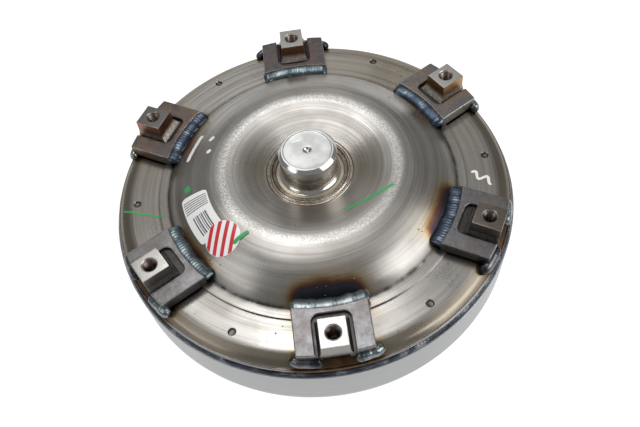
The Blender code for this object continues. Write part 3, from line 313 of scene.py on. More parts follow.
class Finish:
    """A material with its Principled shader, and short calls that add and link its nodes."""

    def __init__(self, name, metallic, roughness, colour=(0.5, 0.5, 0.5), **constants):
        self.material = bpy.data.materials.new(name)
        self.material.use_nodes = True
        self.tree = self.material.node_tree
        self.shader = self.tree.nodes["Principled BSDF"]
        self.shader.inputs["Metallic"].default_value = metallic
        self.shader.inputs["Roughness"].default_value = roughness
        self.shader.inputs["Base Color"].default_value = (*colour, 1.0)
        for key, value in constants.items():
            self.shader.inputs[key.replace("_", " ")].default_value = value
        self.position = self.add("ShaderNodeTexCoord").outputs["Object"]

    def add(self, kind, inputs=None, **settings):
        node = self.tree.nodes.new(kind)
        for key, value in settings.items():
            setattr(node, key, value)
        for key, value in (inputs or {}).items():
            if isinstance(value, bpy.types.NodeSocket):
                self.tree.links.new(value, node.inputs[key])
            else:
                node.inputs[key].default_value = value
        return node

    def math(self, operation, a, b=0.0, clamp=False):
        return self.add("ShaderNodeMath", {0: a, 1: b}, operation=operation, use_clamp=clamp).outputs[0]

    def noise(self, scale, detail=2.0, roughness=0.5, vector=None, distortion=0.0):
        inputs = {"Vector": vector or self.position, "Scale": scale, "Detail": detail, "Roughness": roughness,
                  "Distortion": distortion}
        return self.add("ShaderNodeTexNoise", inputs).outputs["Fac"]

    def ramp(self, factor, stops):
        node = self.add("ShaderNodeValToRGB", {"Fac": factor})
        elements = node.color_ramp.elements
        first, last = elements[0], elements[1]
        last.position, last.color = stops[-1][0], (*stops[-1][1], 1.0)
        first.position, first.color = stops[0][0], (*stops[0][1], 1.0)
        for place, colour in stops[1:-1]:
            elements.new(place).color = (*colour, 1.0)
        return node.outputs["Color"]

    def scale(self, value, low, high, out_low, out_high):
        inputs = {"Value": value, "From Min": low, "From Max": high, "To Min": out_low, "To Max": out_high}
        return self.add("ShaderNodeMapRange", inputs, clamp=True).outputs["Result"]

    def mix(self, factor, a, b, blend="MIX"):
        node = self.add("ShaderNodeMix", data_type="RGBA", blend_type=blend)
        for socket, value in ((node.inputs[0], factor), (node.inputs[6], a), (node.inputs[7], b)):
            if isinstance(value, bpy.types.NodeSocket):
                self.tree.links.new(value, socket)
            elif isinstance(value, tuple):
                socket.default_value = (*value, 1.0)
            else:
                socket.default_value = value
        return node.outputs[2]

    def attribute(self, name):
        return self.add("ShaderNodeAttribute", attribute_name=name).outputs["Fac"]

    def split(self):
        node = self.add("ShaderNodeSeparateXYZ", {0: self.position})
        return node.outputs["X"], node.outputs["Y"], node.outputs["Z"]

    def slope(self):
        """The upward part of the face normal: 1 on level faces, 0 on upright ones."""
        normal = self.add("ShaderNodeNewGeometry").outputs["True Normal"]
        return self.add("ShaderNodeSeparateXYZ", {0: normal}).outputs["Z"]

    def radius(self):
        x, y, _ = self.split()
        return self.math("SQRT", self.math("ADD", self.math("MULTIPLY", x, x), self.math("MULTIPLY", y, y)))

    def rings(self, fineness, drift):
        """Coordinates for turning marks: fast across them, slow round the axis."""
        x, y, z = self.split()
        across = self.math("MULTIPLY", self.math("ADD", self.radius(), z), fineness)
        inputs = {0: across, 1: self.math("MULTIPLY", x, drift), 2: self.math("MULTIPLY", y, drift)}
        return self.add("ShaderNodeCombineXYZ", inputs).outputs[0]

    def set(self, socket, value):
        self.tree.links.new(value, self.shader.inputs[socket])

    def bump(self, height, strength, distance):
        previous = self.shader.inputs["Normal"].links
        inputs = {"Height": height, "Strength": strength, "Distance": distance}
        if previous:
            inputs["Normal"] = previous[0].from_socket
        self.set("Normal", self.add("ShaderNodeBump", inputs).outputs["Normal"])

    def turned_grain(self, anisotropy):
        """Stretches highlights across the turning marks."""
        self.shader.inputs["Anisotropic"].default_value = anisotropy
        self.shader.inputs["Anisotropic Rotation"].default_value = 0.25
        tangent = self.add("ShaderNodeTangent", direction_type="RADIAL", axis="Z").outputs[0]
        self.set("Tangent", tangent)


# Tint of heated steel from cold to hottest: straw, brown, purple, blue, black
OXIDE = [(0.0, (1.0, 1.0, 1.0)), (0.22, (0.94, 0.84, 0.66)), (0.40, (0.66, 0.42, 0.22)),
         (0.54, (0.34, 0.17, 0.12)), (0.66, (0.17, 0.12, 0.17)), (0.78, (0.11, 0.14, 0.20)),
         (1.0, (0.045, 0.042, 0.045))]


def cover_finish():
    """Turned, lightly stained steel with the heat tint that the lug welds leave, painted shade in its creases
    and dimples, and painted dark reflections on the dish.
    """
    f = Finish("cover_turned_steel", 1.0, 0.3)
    grain = f.noise(1.0, 2.0, 0.6, f.rings(1500.0, 12.0))
    bands = f.noise(1.0, 3.0, 0.55, f.rings(300.0, 7.0))
    blotch = f.noise(34.0, 5.0, 0.6)
    patch = f.noise(9.0, 2.0, 0.5)
    speckle = f.noise(900.0, 2.0, 0.7)
    steel = f.ramp(bands, [(0.3, (0.22, 0.207, 0.190)), (0.52, (0.31, 0.298, 0.280)),
                           (0.75, (0.40, 0.388, 0.368))])
    steel = f.mix(f.scale(patch, 0.4, 0.65, 0.0, 0.4), steel, (0.235, 0.213, 0.185))
    steel = f.mix(f.scale(blotch, 0.5, 0.75, 0.0, 0.35), steel, (0.19, 0.172, 0.150))
    steel = f.mix(f.scale(grain, 0.4, 0.75, 0.0, 0.45), steel, (0.50, 0.49, 0.47))
    # Brown stain, with the painted dark reflections on the dish mixed in
    steel = f.mix(f.math("MULTIPLY", f.attribute("patina_and_dark_reflection"), 0.75), steel, (0.185, 0.155, 0.112))
    crest = f.attribute("crest")
    bright = f.math("MULTIPLY", crest, f.scale(speckle, 0.42, 0.62, 0.15, 0.85))
    steel = f.mix(bright, steel, (0.62, 0.61, 0.59))
    edge_noise = f.math("MULTIPLY", f.math("SUBTRACT", f.noise(70.0, 4.0, 0.6), 0.5), 0.35)
    edge = f.math("MULTIPLY", edge_noise, f.attribute("near"))
    heat = f.math("ADD", f.attribute("weld_heat"), edge, clamp=True)
    colour = f.mix(1.0, steel, f.ramp(heat, OXIDE), "MULTIPLY")
    # Soot by the weld corners, and painted shade at the bead feet, the dome wall's foot and the rim's groove,
    # darken the colour
    cover = f.scale(f.noise(120.0, 4.0, 0.6), 0.3, 0.6, 0.3, 1.0)
    soot_and_shade = f.math("MULTIPLY", f.attribute("soot_and_shade"), cover, clamp=True)
    colour = f.mix(soot_and_shade, colour, (0.02, 0.017, 0.015))
    # Painted shade: faces more than 0.2 mm below the flange plane inside radius 139.2, the dimples' hollows,
    # are darkened
    _, _, z = f.split()
    low = f.scale(z, -1.2 * MM, -0.2 * MM, 0.75, 0.0)
    pit = f.math("MULTIPLY", low, f.math("LESS_THAN", f.radius(), 139.2 * MM))
    f.set("Base Color", f.mix(pit, colour, (0.03, 0.026, 0.022)))
    rough = f.math("ADD", f.scale(patch, 0.3, 0.7, 0.22, 0.34), f.scale(blotch, 0.35, 0.7, -0.02, 0.06))
    rough = f.math("ADD", rough, f.math("MULTIPLY", soot_and_shade, 0.25))
    f.set("Roughness", rough)
    f.bump(grain, 0.2, 0.00006)
    f.bump(bands, 0.25, 0.0004)
    f.bump(f.math("MULTIPLY", speckle, crest), 0.2, 0.00008)
    f.turned_grain(0.75)
    return f.material


def pilot_finish():
    """Bright turned steel, a little stained."""
    f = Finish("pilot_turned_steel", 1.0, 0.22)
    grain = f.noise(1.0, 3.0, 0.6, f.rings(4200.0, 8.0))
    blotch = f.noise(50.0, 3.0, 0.5)
    steel = f.ramp(grain, [(0.3, (0.47, 0.465, 0.455)), (0.7, (0.60, 0.595, 0.585))])
    steel = f.mix(f.scale(blotch, 0.45, 0.7, 0.0, 0.3), steel, (0.40, 0.39, 0.375))
    heat = f.attribute("weld_heat")
    level = f.math("GREATER_THAN", f.slope(), 0.97)
    face = f.ramp(blotch, [(0.38, (0.40, 0.405, 0.395)), (0.6, (0.66, 0.665, 0.655))])
    steel = f.mix(level, steel, face)
    f.set("Base Color", f.mix(1.0, steel, f.ramp(heat, OXIDE), "MULTIPLY"))
    rough = f.math("ADD", f.scale(blotch, 0.3, 0.7, 0.13, 0.19), f.math("MULTIPLY", level, 0.24))
    f.set("Roughness", rough)
    f.bump(grain, 0.15, 0.00004)
    f.turned_grain(0.3)
    return f.material


def shell_finish():
    """Satin pressed steel with faint circular polishing marks."""
    f = Finish("shell_satin_steel", 1.0, 0.36)
    grain = f.noise(1.0, 3.0, 0.6, f.rings(1800.0, 10.0))
    blotch = f.noise(22.0, 4.0, 0.6)
    steel = f.ramp(blotch, [(0.3, (0.29, 0.293, 0.297)), (0.7, (0.36, 0.363, 0.366))])
    steel = f.mix(f.scale(grain, 0.35, 0.7, 0.0, 0.35), steel, (0.48, 0.48, 0.48))
    stain = f.scale(f.noise(260.0, 3.0, 0.6), 0.62, 0.75, 0.0, 0.4)
    f.set("Base Color", f.mix(stain, steel, (0.42, 0.40, 0.38)))
    f.set("Roughness", f.scale(blotch, 0.3, 0.7, 0.32, 0.45))
    f.bump(grain, 0.25, 0.00006)
    f.turned_grain(0.4)
    return f.material


# Each lug's look: plate colour, tint colour, how much tint, boss face colour, boss side colour
LUG_LOOKS = [((0.185, 0.188, 0.194), (0.22, 0.170, 0.150), 0.40, (0.40, 0.393, 0.378), (0.28, 0.262, 0.24)),
             ((0.125, 0.126, 0.130), (0.15, 0.118, 0.095), 0.45, (0.17, 0.150, 0.130), (0.19, 0.160, 0.130)),
             ((0.150, 0.150, 0.152), (0.25, 0.160, 0.085), 0.45, (0.52, 0.51, 0.480), (0.36, 0.220, 0.110)),
             ((0.115, 0.105, 0.106), (0.16, 0.090, 0.070), 0.55, (0.56, 0.545, 0.515), (0.34, 0.185, 0.105)),
             ((0.110, 0.096, 0.096), (0.24, 0.140, 0.070), 0.55, (0.20, 0.192, 0.180), (0.27, 0.145, 0.090)),
             ((0.150, 0.150, 0.152), (0.16, 0.130, 0.112), 0.40, (0.42, 0.405, 0.380), (0.24, 0.215, 0.195))]


def lug_finish(index):
    """Forged steel with weld tints and a milled face on the boss; painted shade darkens the recess and the
    plate's foot, and a painted highlight partly lightens the bevels.
    """
    plate, tint, amount, face, side = LUG_LOOKS[index]
    f = Finish("lug_forged_steel_{}".format(index + 1), 1.0, 0.4)
    shift = (index * 0.37, index * 0.21, 0.0)
    vector = f.add("ShaderNodeVectorMath", {0: f.position, 1: shift}, operation="ADD").outputs[0]
    cloud = f.noise(75.0, 4.0, 0.6, vector)
    scale = f.noise(420.0, 4.0, 0.65, vector)
    x, y, z = f.split()
    steel = f.mix(f.scale(scale, 0.35, 0.7, 0.0, 0.6), plate, tuple(1.7 * c for c in plate))
    steel = f.mix(f.math("MULTIPLY", f.scale(cloud, 0.42, 0.62, 0.0, 1.0), amount), steel, tint)
    flecks = f.scale(f.noise(240.0, 3.0, 0.7, vector), 0.62, 0.70, 0.0, 0.35)
    steel = f.mix(flecks, steel, tuple(min(1.0, 2.6 * c) for c in tint))
    above = f.scale(z, (LUG_FLOOR + 0.2) * MM, (BOSS_TOP - 8.0) * MM, 0.0, 1.0)
    on_boss = f.math("LESS_THAN", f.math("ABSOLUTE", y), (RECESS_HALF - 0.3) * MM)
    inward = f.math("GREATER_THAN", x, (RECESS_X0 + 1.0) * MM)
    boss = f.math("MULTIPLY", above, f.math("MULTIPLY", on_boss, inward))
    steel = f.mix(boss, steel, side)
    milled = f.math("GREATER_THAN", z, (BOSS_TOP - 0.12) * MM)
    stretched = f.add("ShaderNodeMapping", {"Vector": vector, "Scale": (160.0, 3200.0, 1.0)})
    marks = f.noise(1.0, 2.0, 0.5, stretched.outputs[0])
    top = f.mix(f.scale(marks, 0.3, 0.7, 0.0, 0.5), face, tuple(0.82 * c for c in face))
    # Painted shade: the recess floor and the lower part of its walls go nearly black
    inside = f.math("LESS_THAN", f.math("ABSOLUTE", y), (RECESS_HALF + 0.2) * MM)
    recess_shade = f.math("MULTIPLY", f.scale(z, (LUG_FLOOR + 0.1) * MM, (LUG_PLATE - 1.0) * MM, 0.75, 0.0), inside)
    steel = f.mix(recess_shade, steel, (0.022, 0.020, 0.018))
    # Painted shade: the plate's sides darken towards the bottom
    foot = f.scale(z, (LUG_BOTTOM + 0.5) * MM, (LUG_PLATE - 1.5) * MM, 0.55, 0.0)
    steel = f.mix(foot, steel, (0.05, 0.042, 0.036))
    # Bevels lightened: partly edge wear, partly a painted highlight where the bevels catch the light
    slope = f.slope()
    edge = f.math("MULTIPLY", f.math("GREATER_THAN", slope, 0.22), f.math("LESS_THAN", slope, 0.96))
    worn = f.math("MULTIPLY", edge, f.scale(scale, 0.38, 0.6, 0.25, 0.8))
    steel = f.mix(worn, steel, (0.36, 0.35, 0.335))
    f.set("Base Color", f.mix(milled, steel, top))
    forged_rough = f.scale(cloud, 0.3, 0.7, 0.30, 0.48)
    rough = f.mix(milled, forged_rough, f.scale(marks, 0.3, 0.7, 0.24, 0.36))
    f.set("Roughness", rough)
    unmilled = f.math("SUBTRACT", 1.0, milled)
    f.bump(f.math("MULTIPLY", scale, unmilled), 0.5, 0.00022)
    f.bump(f.math("MULTIPLY", cloud, unmilled), 0.4, 0.0006)
    f.bump(f.math("MULTIPLY", marks, milled), 0.2, 0.00004)
    return f.material


# Weld looks: dark colour, middle colour, bright colour, roughness
WELD_LOOKS = {
    "silver": ((0.085, 0.105, 0.112), (0.20, 0.23, 0.24), (0.46, 0.49, 0.49), 0.26),
    "blue": ((0.022, 0.029, 0.042), (0.060, 0.078, 0.105), (0.24, 0.28, 0.32), 0.26),
    "teal": ((0.040, 0.054, 0.060), (0.115, 0.145, 0.158), (0.36, 0.40, 0.40), 0.26),
    "dark": ((0.018, 0.019, 0.022), (0.042, 0.046, 0.052), (0.19, 0.20, 0.215), 0.32),
}


def weld_finish(look):
    """As-welded steel with cloudy oxide and specks of slag."""
    dark, middle, bright, roughness = WELD_LOOKS[look]
    f = Finish("weld_" + look, 1.0, roughness)
    cloud = f.noise(60.0, 4.0, 0.55, distortion=0.5)
    fine = f.noise(700.0, 3.0, 0.6)
    steel = f.ramp(cloud, [(0.34, dark), (0.52, middle), (0.72, bright)])
    slag = f.scale(f.noise(330.0, 2.0, 0.5), 0.64, 0.70, 0.0, 0.8)
    f.set("Base Color", f.mix(slag, steel, (0.05, 0.035, 0.025)))
    f.set("Roughness", f.scale(cloud, 0.3, 0.7, roughness + 0.1, roughness - 0.04))
    f.bump(fine, 0.3, 0.0002)
    return f.material


def plain_finish(name, colour, metallic, roughness, grain_scale, contrast=0.25, bump=0.15,
                 turned_marks=False):
    """A finish for the pieces inside: grain, slight colour variation and worn edges."""
    f = Finish(name, metallic, roughness)
    vector = f.rings(grain_scale * 4.0, 10.0) if turned_marks else f.position
    grain = f.noise(1.0 if turned_marks else grain_scale, 4.0, 0.6, vector)
    blotch = f.noise(45.0, 4.0, 0.6)
    low = tuple(c * (1.0 - contrast) for c in colour)
    high = tuple(min(1.0, c * (1.0 + contrast)) for c in colour)
    base = f.ramp(f.math("ADD", f.math("MULTIPLY", grain, 0.5), f.math("MULTIPLY", blotch, 0.5)),
                  [(0.35, low), (0.65, high)])
    worn = f.scale(f.add("ShaderNodeNewGeometry").outputs["Pointiness"], 0.52, 0.6, 0.0, 0.5)
    f.set("Base Color", f.mix(worn, base, tuple(min(1.0, c * 1.5) for c in colour)))
    f.set("Roughness", f.scale(blotch, 0.3, 0.7, roughness * 0.85, min(1.0, roughness * 1.2)))
    f.bump(grain, bump, 0.0001)
    return f.material


def paint_finish(name, colour, worn):
    """Hand-applied marking paint, thin enough in places for the steel to show."""
    f = Finish(name, 0.0, 0.45)
    patchy = f.noise(700.0, 3.0, 0.6)
    thin = tuple(0.55 * c + 0.1 for c in colour)
    f.set("Base Color", f.mix(f.scale(patchy, 0.5, 0.75, 0.0, worn), colour, thin))
    f.set("Roughness", f.scale(patchy, 0.3, 0.7, 0.35, 0.6))
    f.bump(patchy, 0.4, 0.0001)
    return f.material


def label_finish(name, colour):
    """Printed film with a slight gloss."""
    f = Finish(name, 0.0, 0.3, Coat_Weight=0.25, Coat_Roughness=0.2)
    fibre = f.noise(1500.0, 3.0, 0.6)
    f.set("Base Color", f.mix(f.scale(fibre, 0.3, 0.7, 0.0, 0.25), colour, tuple(0.86 * c for c in colour)))
    f.set("Roughness", f.scale(fibre, 0.3, 0.7, 0.28, 0.42))
    f.bump(fibre, 0.15, 0.00003)
    return f.material


# ------------------------------------------------------------------ the cover

# Each lug's weld halo on the dome: strength, width, sideways lean, soot (which also scales the painted shade
# along the inner bead's foot)
HALOS = [(0.94, 11.5, 0.0, 0.25), (0.74, 10.0, 5.0, 0.15), (0.42, 5.0, -6.0, 0.45), (0.50, 6.0, 3.0, 0.1),
         (0.62, 6.5, -8.0, 0.7), (0.55, 5.5, 4.0, 0.35)]
# Painted dark reflections on the dished centre: azimuth and half width in degrees
DISH_DARK_REFLECTIONS = [(172.0, 36.0), (-8.0, 34.0), (-92.0, 28.0)]
DIMPLE_R = 134.7
DIMPLE = [(0.0, -2.1), (2.3, -1.7), (2.8, -0.25), (3.2, 0.1), (3.2, 1.0), (0.0, 1.0)]
CREST_R, CREST_WIDTH = 66.5, 4.2


def set_attribute(mesh, name, values):
    attribute = mesh.attributes.new(name, "FLOAT", "POINT")
    attribute.data.foreach_set("value", np.asarray(values, np.float32))


def smooth_noise(values, seed, waves=6):
    """A seeded sum of sines, for slow wandering along a length or an angle."""
    chooser = random.Random(seed)
    total = np.zeros_like(values)
    for k in range(waves):
        total = total + math.pow(0.8, k) * np.sin(values * (k + 1) * chooser.uniform(0.7, 1.3)
                                                  + chooser.uniform(0.0, 6.28))
    return total / 2.4


def paint_cover(mesh):
    """Stores where the welds' heat, the soot and the painted shade, the old stain with the painted dark
    reflections on the dish, and the bright crest are, for the cover's finish.
    """
    co = places(mesh)
    r = np.hypot(co[:, 0], co[:, 1])
    az = np.arctan2(co[:, 1], co[:, 0])
    heat, soot_and_shade, near = np.zeros_like(r), np.zeros_like(r), np.zeros_like(r)
    for index, (strength, width, lean, black) in enumerate(HALOS):
        turn = az - math.radians(LUG_ANGLES[index])
        x, y = r * np.cos(turn), r * np.sin(turn)
        wander = 1.0 + 0.10 * smooth_noise(y / 26.0, index)
        # inner and outer are the distances from the lug's inner bead and from its outer edge
        side = np.maximum(np.abs(y - lean * 0.3) - 17.0, 0.0)
        inner = np.hypot(np.maximum(105.0 - x, 0.0) + np.maximum(x - 112.0, 0.0), side)
        reach = np.where(r < 109.5, 1.0, 0.45)
        glow = strength * reach * np.exp(-(inner / (width * wander)) ** 2)
        outer = np.hypot(np.maximum(140.0 - x, 0.0), np.maximum(np.abs(y) - 27.0, 0.0))
        glow = np.maximum(glow, 0.42 * np.exp(-(outer / 5.5) ** 2) * (x > 100.0))
        heat = np.maximum(heat, glow)
        near = np.maximum(near, np.exp(-(np.minimum(inner, outer) / 22.0) ** 2))
        corner = np.hypot(x - 108.0, np.abs(y - np.sign(lean) * 27.0))
        soot_and_shade = np.maximum(soot_and_shade, black * np.exp(-(corner / 7.0) ** 2))
        # Painted shade: dark bands along the inner bead's foot and round the plate's outer end
        soot_and_shade = np.maximum(soot_and_shade, 0.35 * black * np.exp(-(inner / 3.0) ** 2))
        soot_and_shade = np.maximum(soot_and_shade, 0.55 * np.exp(-(outer / 4.5) ** 2) * (x > 137.0))
    # Old stain: one side of the flange, its outer slope, round the pilot and on the left
    degrees = np.degrees(az)
    stain = np.exp(-((degrees - 42.0) / 40.0) ** 2) * (r > 111.0)
    stain = stain + 1.0 * (r > 140.5) * (r < 149.8) + 0.35 * np.exp(-((r - 30.0) / 5.0) ** 2)
    stain = stain + 0.45 * np.exp(-((np.abs(degrees) - 168.0) / 22.0) ** 2) * (r > 96.0)
    # Painted dark reflections on the dish, left and right of the pilot and in front of it, join the stain
    for middle, spread in DISH_DARK_REFLECTIONS:
        turn = np.abs((degrees - middle + 180.0) % 360.0 - 180.0)
        stain = stain + 0.95 * np.exp(-((r - 41.0) / 13.0) ** 2 - (turn / spread) ** 2)
    # Painted shade: a dark ring at the foot of the dome's wall and another in the rim's groove
    foot = 0.85 * np.exp(-((r - 110.0) / 1.6) ** 2) + 0.7 * np.exp(-((r - 149.9) / 0.4) ** 2)
    set_attribute(mesh, "weld_heat", heat)
    set_attribute(mesh, "near", near)
    set_attribute(mesh, "soot_and_shade", np.clip(soot_and_shade + foot, 0.0, 1.0))
    set_attribute(mesh, "patina_and_dark_reflection", np.clip(stain, 0.0, 1.0))
    set_attribute(mesh, "crest", np.exp(-((r - CREST_R) / CREST_WIDTH) ** 4))


def build_cover():
    """The front cover, turned in one piece, with a pressed dimple between each two lugs."""
    outline = divided(COVER_FACE, LONGEST_STEP, closed=False) + rounded(COVER_BACK, 2, closed=False)
    body = turned("cover_shell", outline)
    pits = []
    for angle in LUG_ANGLES:
        x, y = polar(DIMPLE_R, angle + 30.0)
        pit = turned("pit", DIMPLE, 24)
        pit.transform(Matrix.Translation(Vector((x, y, 0.0)) * MM))
        pits.append(pit)
    body = boolean(body, [("DIFFERENCE", joined("pits", pits))])
    paint_cover(body)
    piece("cover_shell", body, cover_finish(), "cover_steel", replaces=["front_cover"])


def build_pilot():
    """The crank pilot on its foot, with a centre mark in its end face."""
    top = PILOT_TOP
    profile = [(0.0, 4.6, 0.0), (29.7, 4.6, 0.3), (29.7, 11.0, 0.4), (25.4, 11.3, 0.4), (22.4, 11.9, 1.0),
               (20.4, 13.6, 0.8), (20.2, 15.2, 0.3), (21.6, 16.5, 0.15), (21.6, top - 2.4, 0.12),
               (19.2, top, 0.12), (18.0, top, 0.1), (17.4, top - 0.3, 0.3), (3.0, top - 0.55, 0.6),
               (1.3, top - 2.0, 0.3), (0.0, top - 2.3, 0.0)]
    mesh = turned("pilot", divided(rounded(profile, 3), 2.5), ROUND_SEGMENTS * 2, sharp=24.0)
    co = places(mesh)
    r = np.hypot(co[:, 0], co[:, 1])
    set_attribute(mesh, "weld_heat", 0.34 * np.exp(-((r - 26.5) / 3.5) ** 2) * (co[:, 2] < 15.0))
    piece("pilot", mesh, pilot_finish(), "cover_steel", replaces=["pilot_hub"])


def build_pilot_weld():
    """The bright ring of lips where the pilot is welded into the dome's centre."""
    def ripple(r, z, a):
        top = z > 11.4
        wave = 0.03 * np.sin(a * 96.0 + 0.8 * smooth_noise(a * 3.0, 5)) + 0.07 * smooth_noise(a * 2.0, 9)
        return r, z + np.where(top, wave, 0.0)

    profile = [(25.4, 9.0, 0.3), (25.6, 11.7, 0.4), (26.6, 12.5, 0.6), (27.5, 12.0, 0.4), (28.0, 12.0, 0.3),
               (28.9, 13.2, 0.7), (30.0, 13.3, 0.6), (30.5, 12.7, 0.3), (31.1, 12.7, 0.3), (32.0, 13.0, 0.6),
               (33.4, 12.4, 0.5), (33.4, 9.0, 0.3)]
    mesh = turned("pilot_weld", divided(rounded(profile, 3), 1.0), FINE_SEGMENTS, ripple, 60.0)
    finish = Finish("weld_bronze", 1.0, 0.22)
    cloud = finish.noise(40.0, 3.0, 0.6)
    steel = finish.ramp(cloud, [(0.35, (0.14, 0.115, 0.09)), (0.55, (0.29, 0.25, 0.205)),
                                (0.7, (0.46, 0.43, 0.385))])
    finish.set("Base Color", steel)
    finish.set("Roughness", finish.scale(cloud, 0.3, 0.7, 0.32, 0.18))
    finish.bump(finish.noise(600.0, 3.0, 0.6), 0.2, 0.0001)
    piece("pilot_weld", mesh, finish.material, "weld_steel")


# ------------------------------------------------------------------ lugs and their welds

def arc_points(radius, y0, y1, steps):
    """Points along a circle about the shaft axis, between two distances sideways."""
    points = []
    for i in range(steps + 1):
        y = y0 + (y1 - y0) * i / steps
        points.append((math.sqrt(radius * radius - y * y), y))
    return points


def boss_mesh():
    """The boss, its sides curving out into the recess at the foot, with bevelled upper edges."""
    rows = 14
    z0 = LUG_FLOOR - 1.0
    points = []
    for i in range(rows + 2):
        share = min(i / (rows - 1), 1.0)
        z = z0 + (BOSS_TOP - 0.45 - z0) * share
        curve = math.pow(1.0 - min(1.0, (z - z0) / 7.5), 2.4)
        trim = 0.0
        if i >= rows:
            z, trim = ((BOSS_TOP - 0.13, 0.13), (BOSS_TOP, 0.45))[i - rows]
        half = BOSS_HALF + 0.5 * (1.0 - share) + BOSS_FLARE * 1.7 * curve - trim
        x0 = BOSS_X0 - 0.5 * (1.0 - share) - BOSS_FLARE * 3.2 * curve + trim
        x1 = BOSS_X1 - trim
        points += [(x, y, z) for x, y in rectangle(x0, x1, half)]
    return mesh_of("boss", points, tube_faces(rows + 2, 4))


def lug_body():
    """The U-shaped plate, the lower web inside it and the drafted boss, united and drilled."""
    corner_x = RECESS_X0 + RECESS_CORNER
    outline = arc_points(LUG_OUTER_R, -LUG_HALF, -RECESS_HALF, 4)
    for side, start in ((-1.0, 270.0), (1.0, 180.0)):
        for k in range(6):
            x, y = polar(RECESS_CORNER, start - 18.0 * k)
            outline.append((corner_x + x, side * (RECESS_HALF - RECESS_CORNER) + y))
    outline += arc_points(LUG_OUTER_R, RECESS_HALF, LUG_HALF, 4)
    outline += arc_points(LUG_INNER_R, LUG_HALF, -LUG_HALF, 10)
    plate = prism("plate", outline, LUG_BOTTOM, LUG_PLATE, bevel=0.8)
    floor = rectangle(RECESS_X0 - 1.5, LUG_OUTER_R - 0.7, RECESS_HALF + 1.5)
    web = prism("web", floor, LUG_BOTTOM + 0.2, LUG_FLOOR)
    boss = boss_mesh()
    hole = [(0.0, 0.0), (THREAD_MAJOR_R + 0.1, 0.0), (THREAD_MAJOR_R + 0.1, BOSS_TOP - 0.8),
            (COUNTERSINK_R, BOSS_TOP + 0.02), (COUNTERSINK_R, BOSS_TOP + 1.0), (0.0, BOSS_TOP + 1.0)]
    bore = turned("bore", hole, 40)
    bore.transform(Matrix.Translation(Vector((BOLT_R, 0.0, 0.0)) * MM))
    notch = prism("notch", rectangle(142.4, 150.0, 9.0), 0.0, 5.6)
    return boolean(plate, [("UNION", web), ("UNION", boss), ("DIFFERENCE", bore), ("DIFFERENCE", notch)])


def thread_mesh():
    """A sleeve whose inner face is a real helix, from the plate's underside to the countersink."""
    sides, rise = 40, 0.25
    z0, z1 = LUG_BOTTOM + 0.4, BOSS_TOP - 0.5
    rows = int((z1 - z0) / rise)
    points = []
    for i in range(rows + 1):
        z = z0 + (z1 - z0) * i / rows
        for k in range(sides):
            phase = (z / THREAD_PITCH - k / sides) % 1.0
            depth = 1.0 - abs(2.0 * phase - 1.0)
            lead = min(1.0, (z1 - z) / 1.2)
            radius = THREAD_MAJOR_R - (THREAD_MAJOR_R - THREAD_MINOR_R) * min(1.0, 1.35 * depth) * lead
            x, y = polar(radius, 360.0 * k / sides)
            points.append((BOLT_R + x, y, z))
    outer_r = THREAD_MAJOR_R + 0.25
    for z in (z1, z0):
        for k in range(sides):
            x, y = polar(outer_r, 360.0 * k / sides)
            points.append((BOLT_R + x, y, z))
    return mesh_of("thread", points, grid_faces(rows + 3, sides, True, True), 80.0)


def route_lengths(line):
    """The distance along a route at each of its points."""
    lengths = [0.0]
    for a, b in zip(line, line[1:]):
        lengths.append(lengths[-1] + (Vector(b) - Vector(a)).length)
    return lengths


def along_route(line, lengths, distance):
    """The point at a distance along a route."""
    s = min(max(distance, 0.0), lengths[-1])
    return Vector([float(np.interp(s, lengths, [p[k] for p in line])) for k in range(len(line[0]))])


def bead_mesh(name, route, half_width, crown, depth, seed, ripple=0.3, pitch=2.3, end=5.0, tilt=0.0):
    """A weld bead along a route: rippled in crescents, wandering in width, with round ends."""
    chooser = random.Random(seed)
    line = [Vector(point) for point in route]
    lengths = route_lengths(line)
    total = lengths[-1]
    stations = int(total / 0.42)
    sides = 22
    drift = chooser.uniform(0.0, 6.0)
    points = []
    for i in range(stations + 1):
        s = total * i / stations
        centre = along_route(line, lengths, s)
        along = (along_route(line, lengths, s + 1.0) - along_route(line, lengths, s - 1.0)).normalized()
        across = along.cross(Vector((0.0, 0.0, 1.0))).normalized()
        up = across.cross(along).normalized()
        margin = min(s, total - s)
        close = 1.0 if margin > end else math.sqrt(max(0.0, 1.0 - (1.0 - margin / end) ** 2))
        close = max(close, 0.03)
        wander = float(smooth_noise(s / 6.0 + drift, seed))
        width = half_width * (1.0 + 0.10 * wander) * (0.35 + 0.65 * close)
        for k in range(sides):
            angle = 2.0 * math.pi * k / sides
            u, v = math.cos(angle), math.sin(angle)
            full = math.pow(v, 0.8) * crown if v > 0.0 else v * depth
            height = (full + tilt * u) * close
            if v > 0.0:
                phase = (s - 0.35 * half_width * u * u) / pitch + 0.2 * wander
                crest = abs(math.sin(math.pi * phase))
                height += ripple * (crest - 0.5) * v * close
                height += 0.25 * wander * v * close
            points.append(tuple(centre + across * (u * width) + up * height))
    return mesh_of(name, points, tube_faces(stations + 1, sides), WELD_SHARP)


# Each lug's weld finishes: inner bead, left outer bead, right outer bead
BEAD_LOOKS = [("silver", "dark", "teal"), ("blue", "dark", "silver"), ("blue", "teal", "dark"),
              ("teal", "dark", "dark"), ("blue", "dark", "silver"), ("teal", "dark", "teal")]
# Each lug's inner bead: half its width, and how strongly it is rippled
INNER_BEADS = [(5.6, 0.08), (6.9, 0.17), (6.0, 0.07), (5.6, 0.12), (5.8, 0.18), (5.7, 0.20)]
INNER_BEAD_R, INNER_BEAD_Z = 109.7, 6.9
OUTER_BEAD_R, OUTER_BEAD_Z = 147.3, 0.4


def outer_route(start, reach, side):
    """The route of an outer bead, which bends in and down past the plate's corner."""
    route = []
    for k in range(15):
        y = start + (reach - start) * k / 14.0
        bend = max(0.0, y - 25.0)
        x = math.sqrt(OUTER_BEAD_R ** 2 - y * y) - 0.07 * bend * bend
        route.append((x, side * y, OUTER_BEAD_Z - 0.05 * bend * bend))
    if side < 0.0:
        route.reverse()
    return route


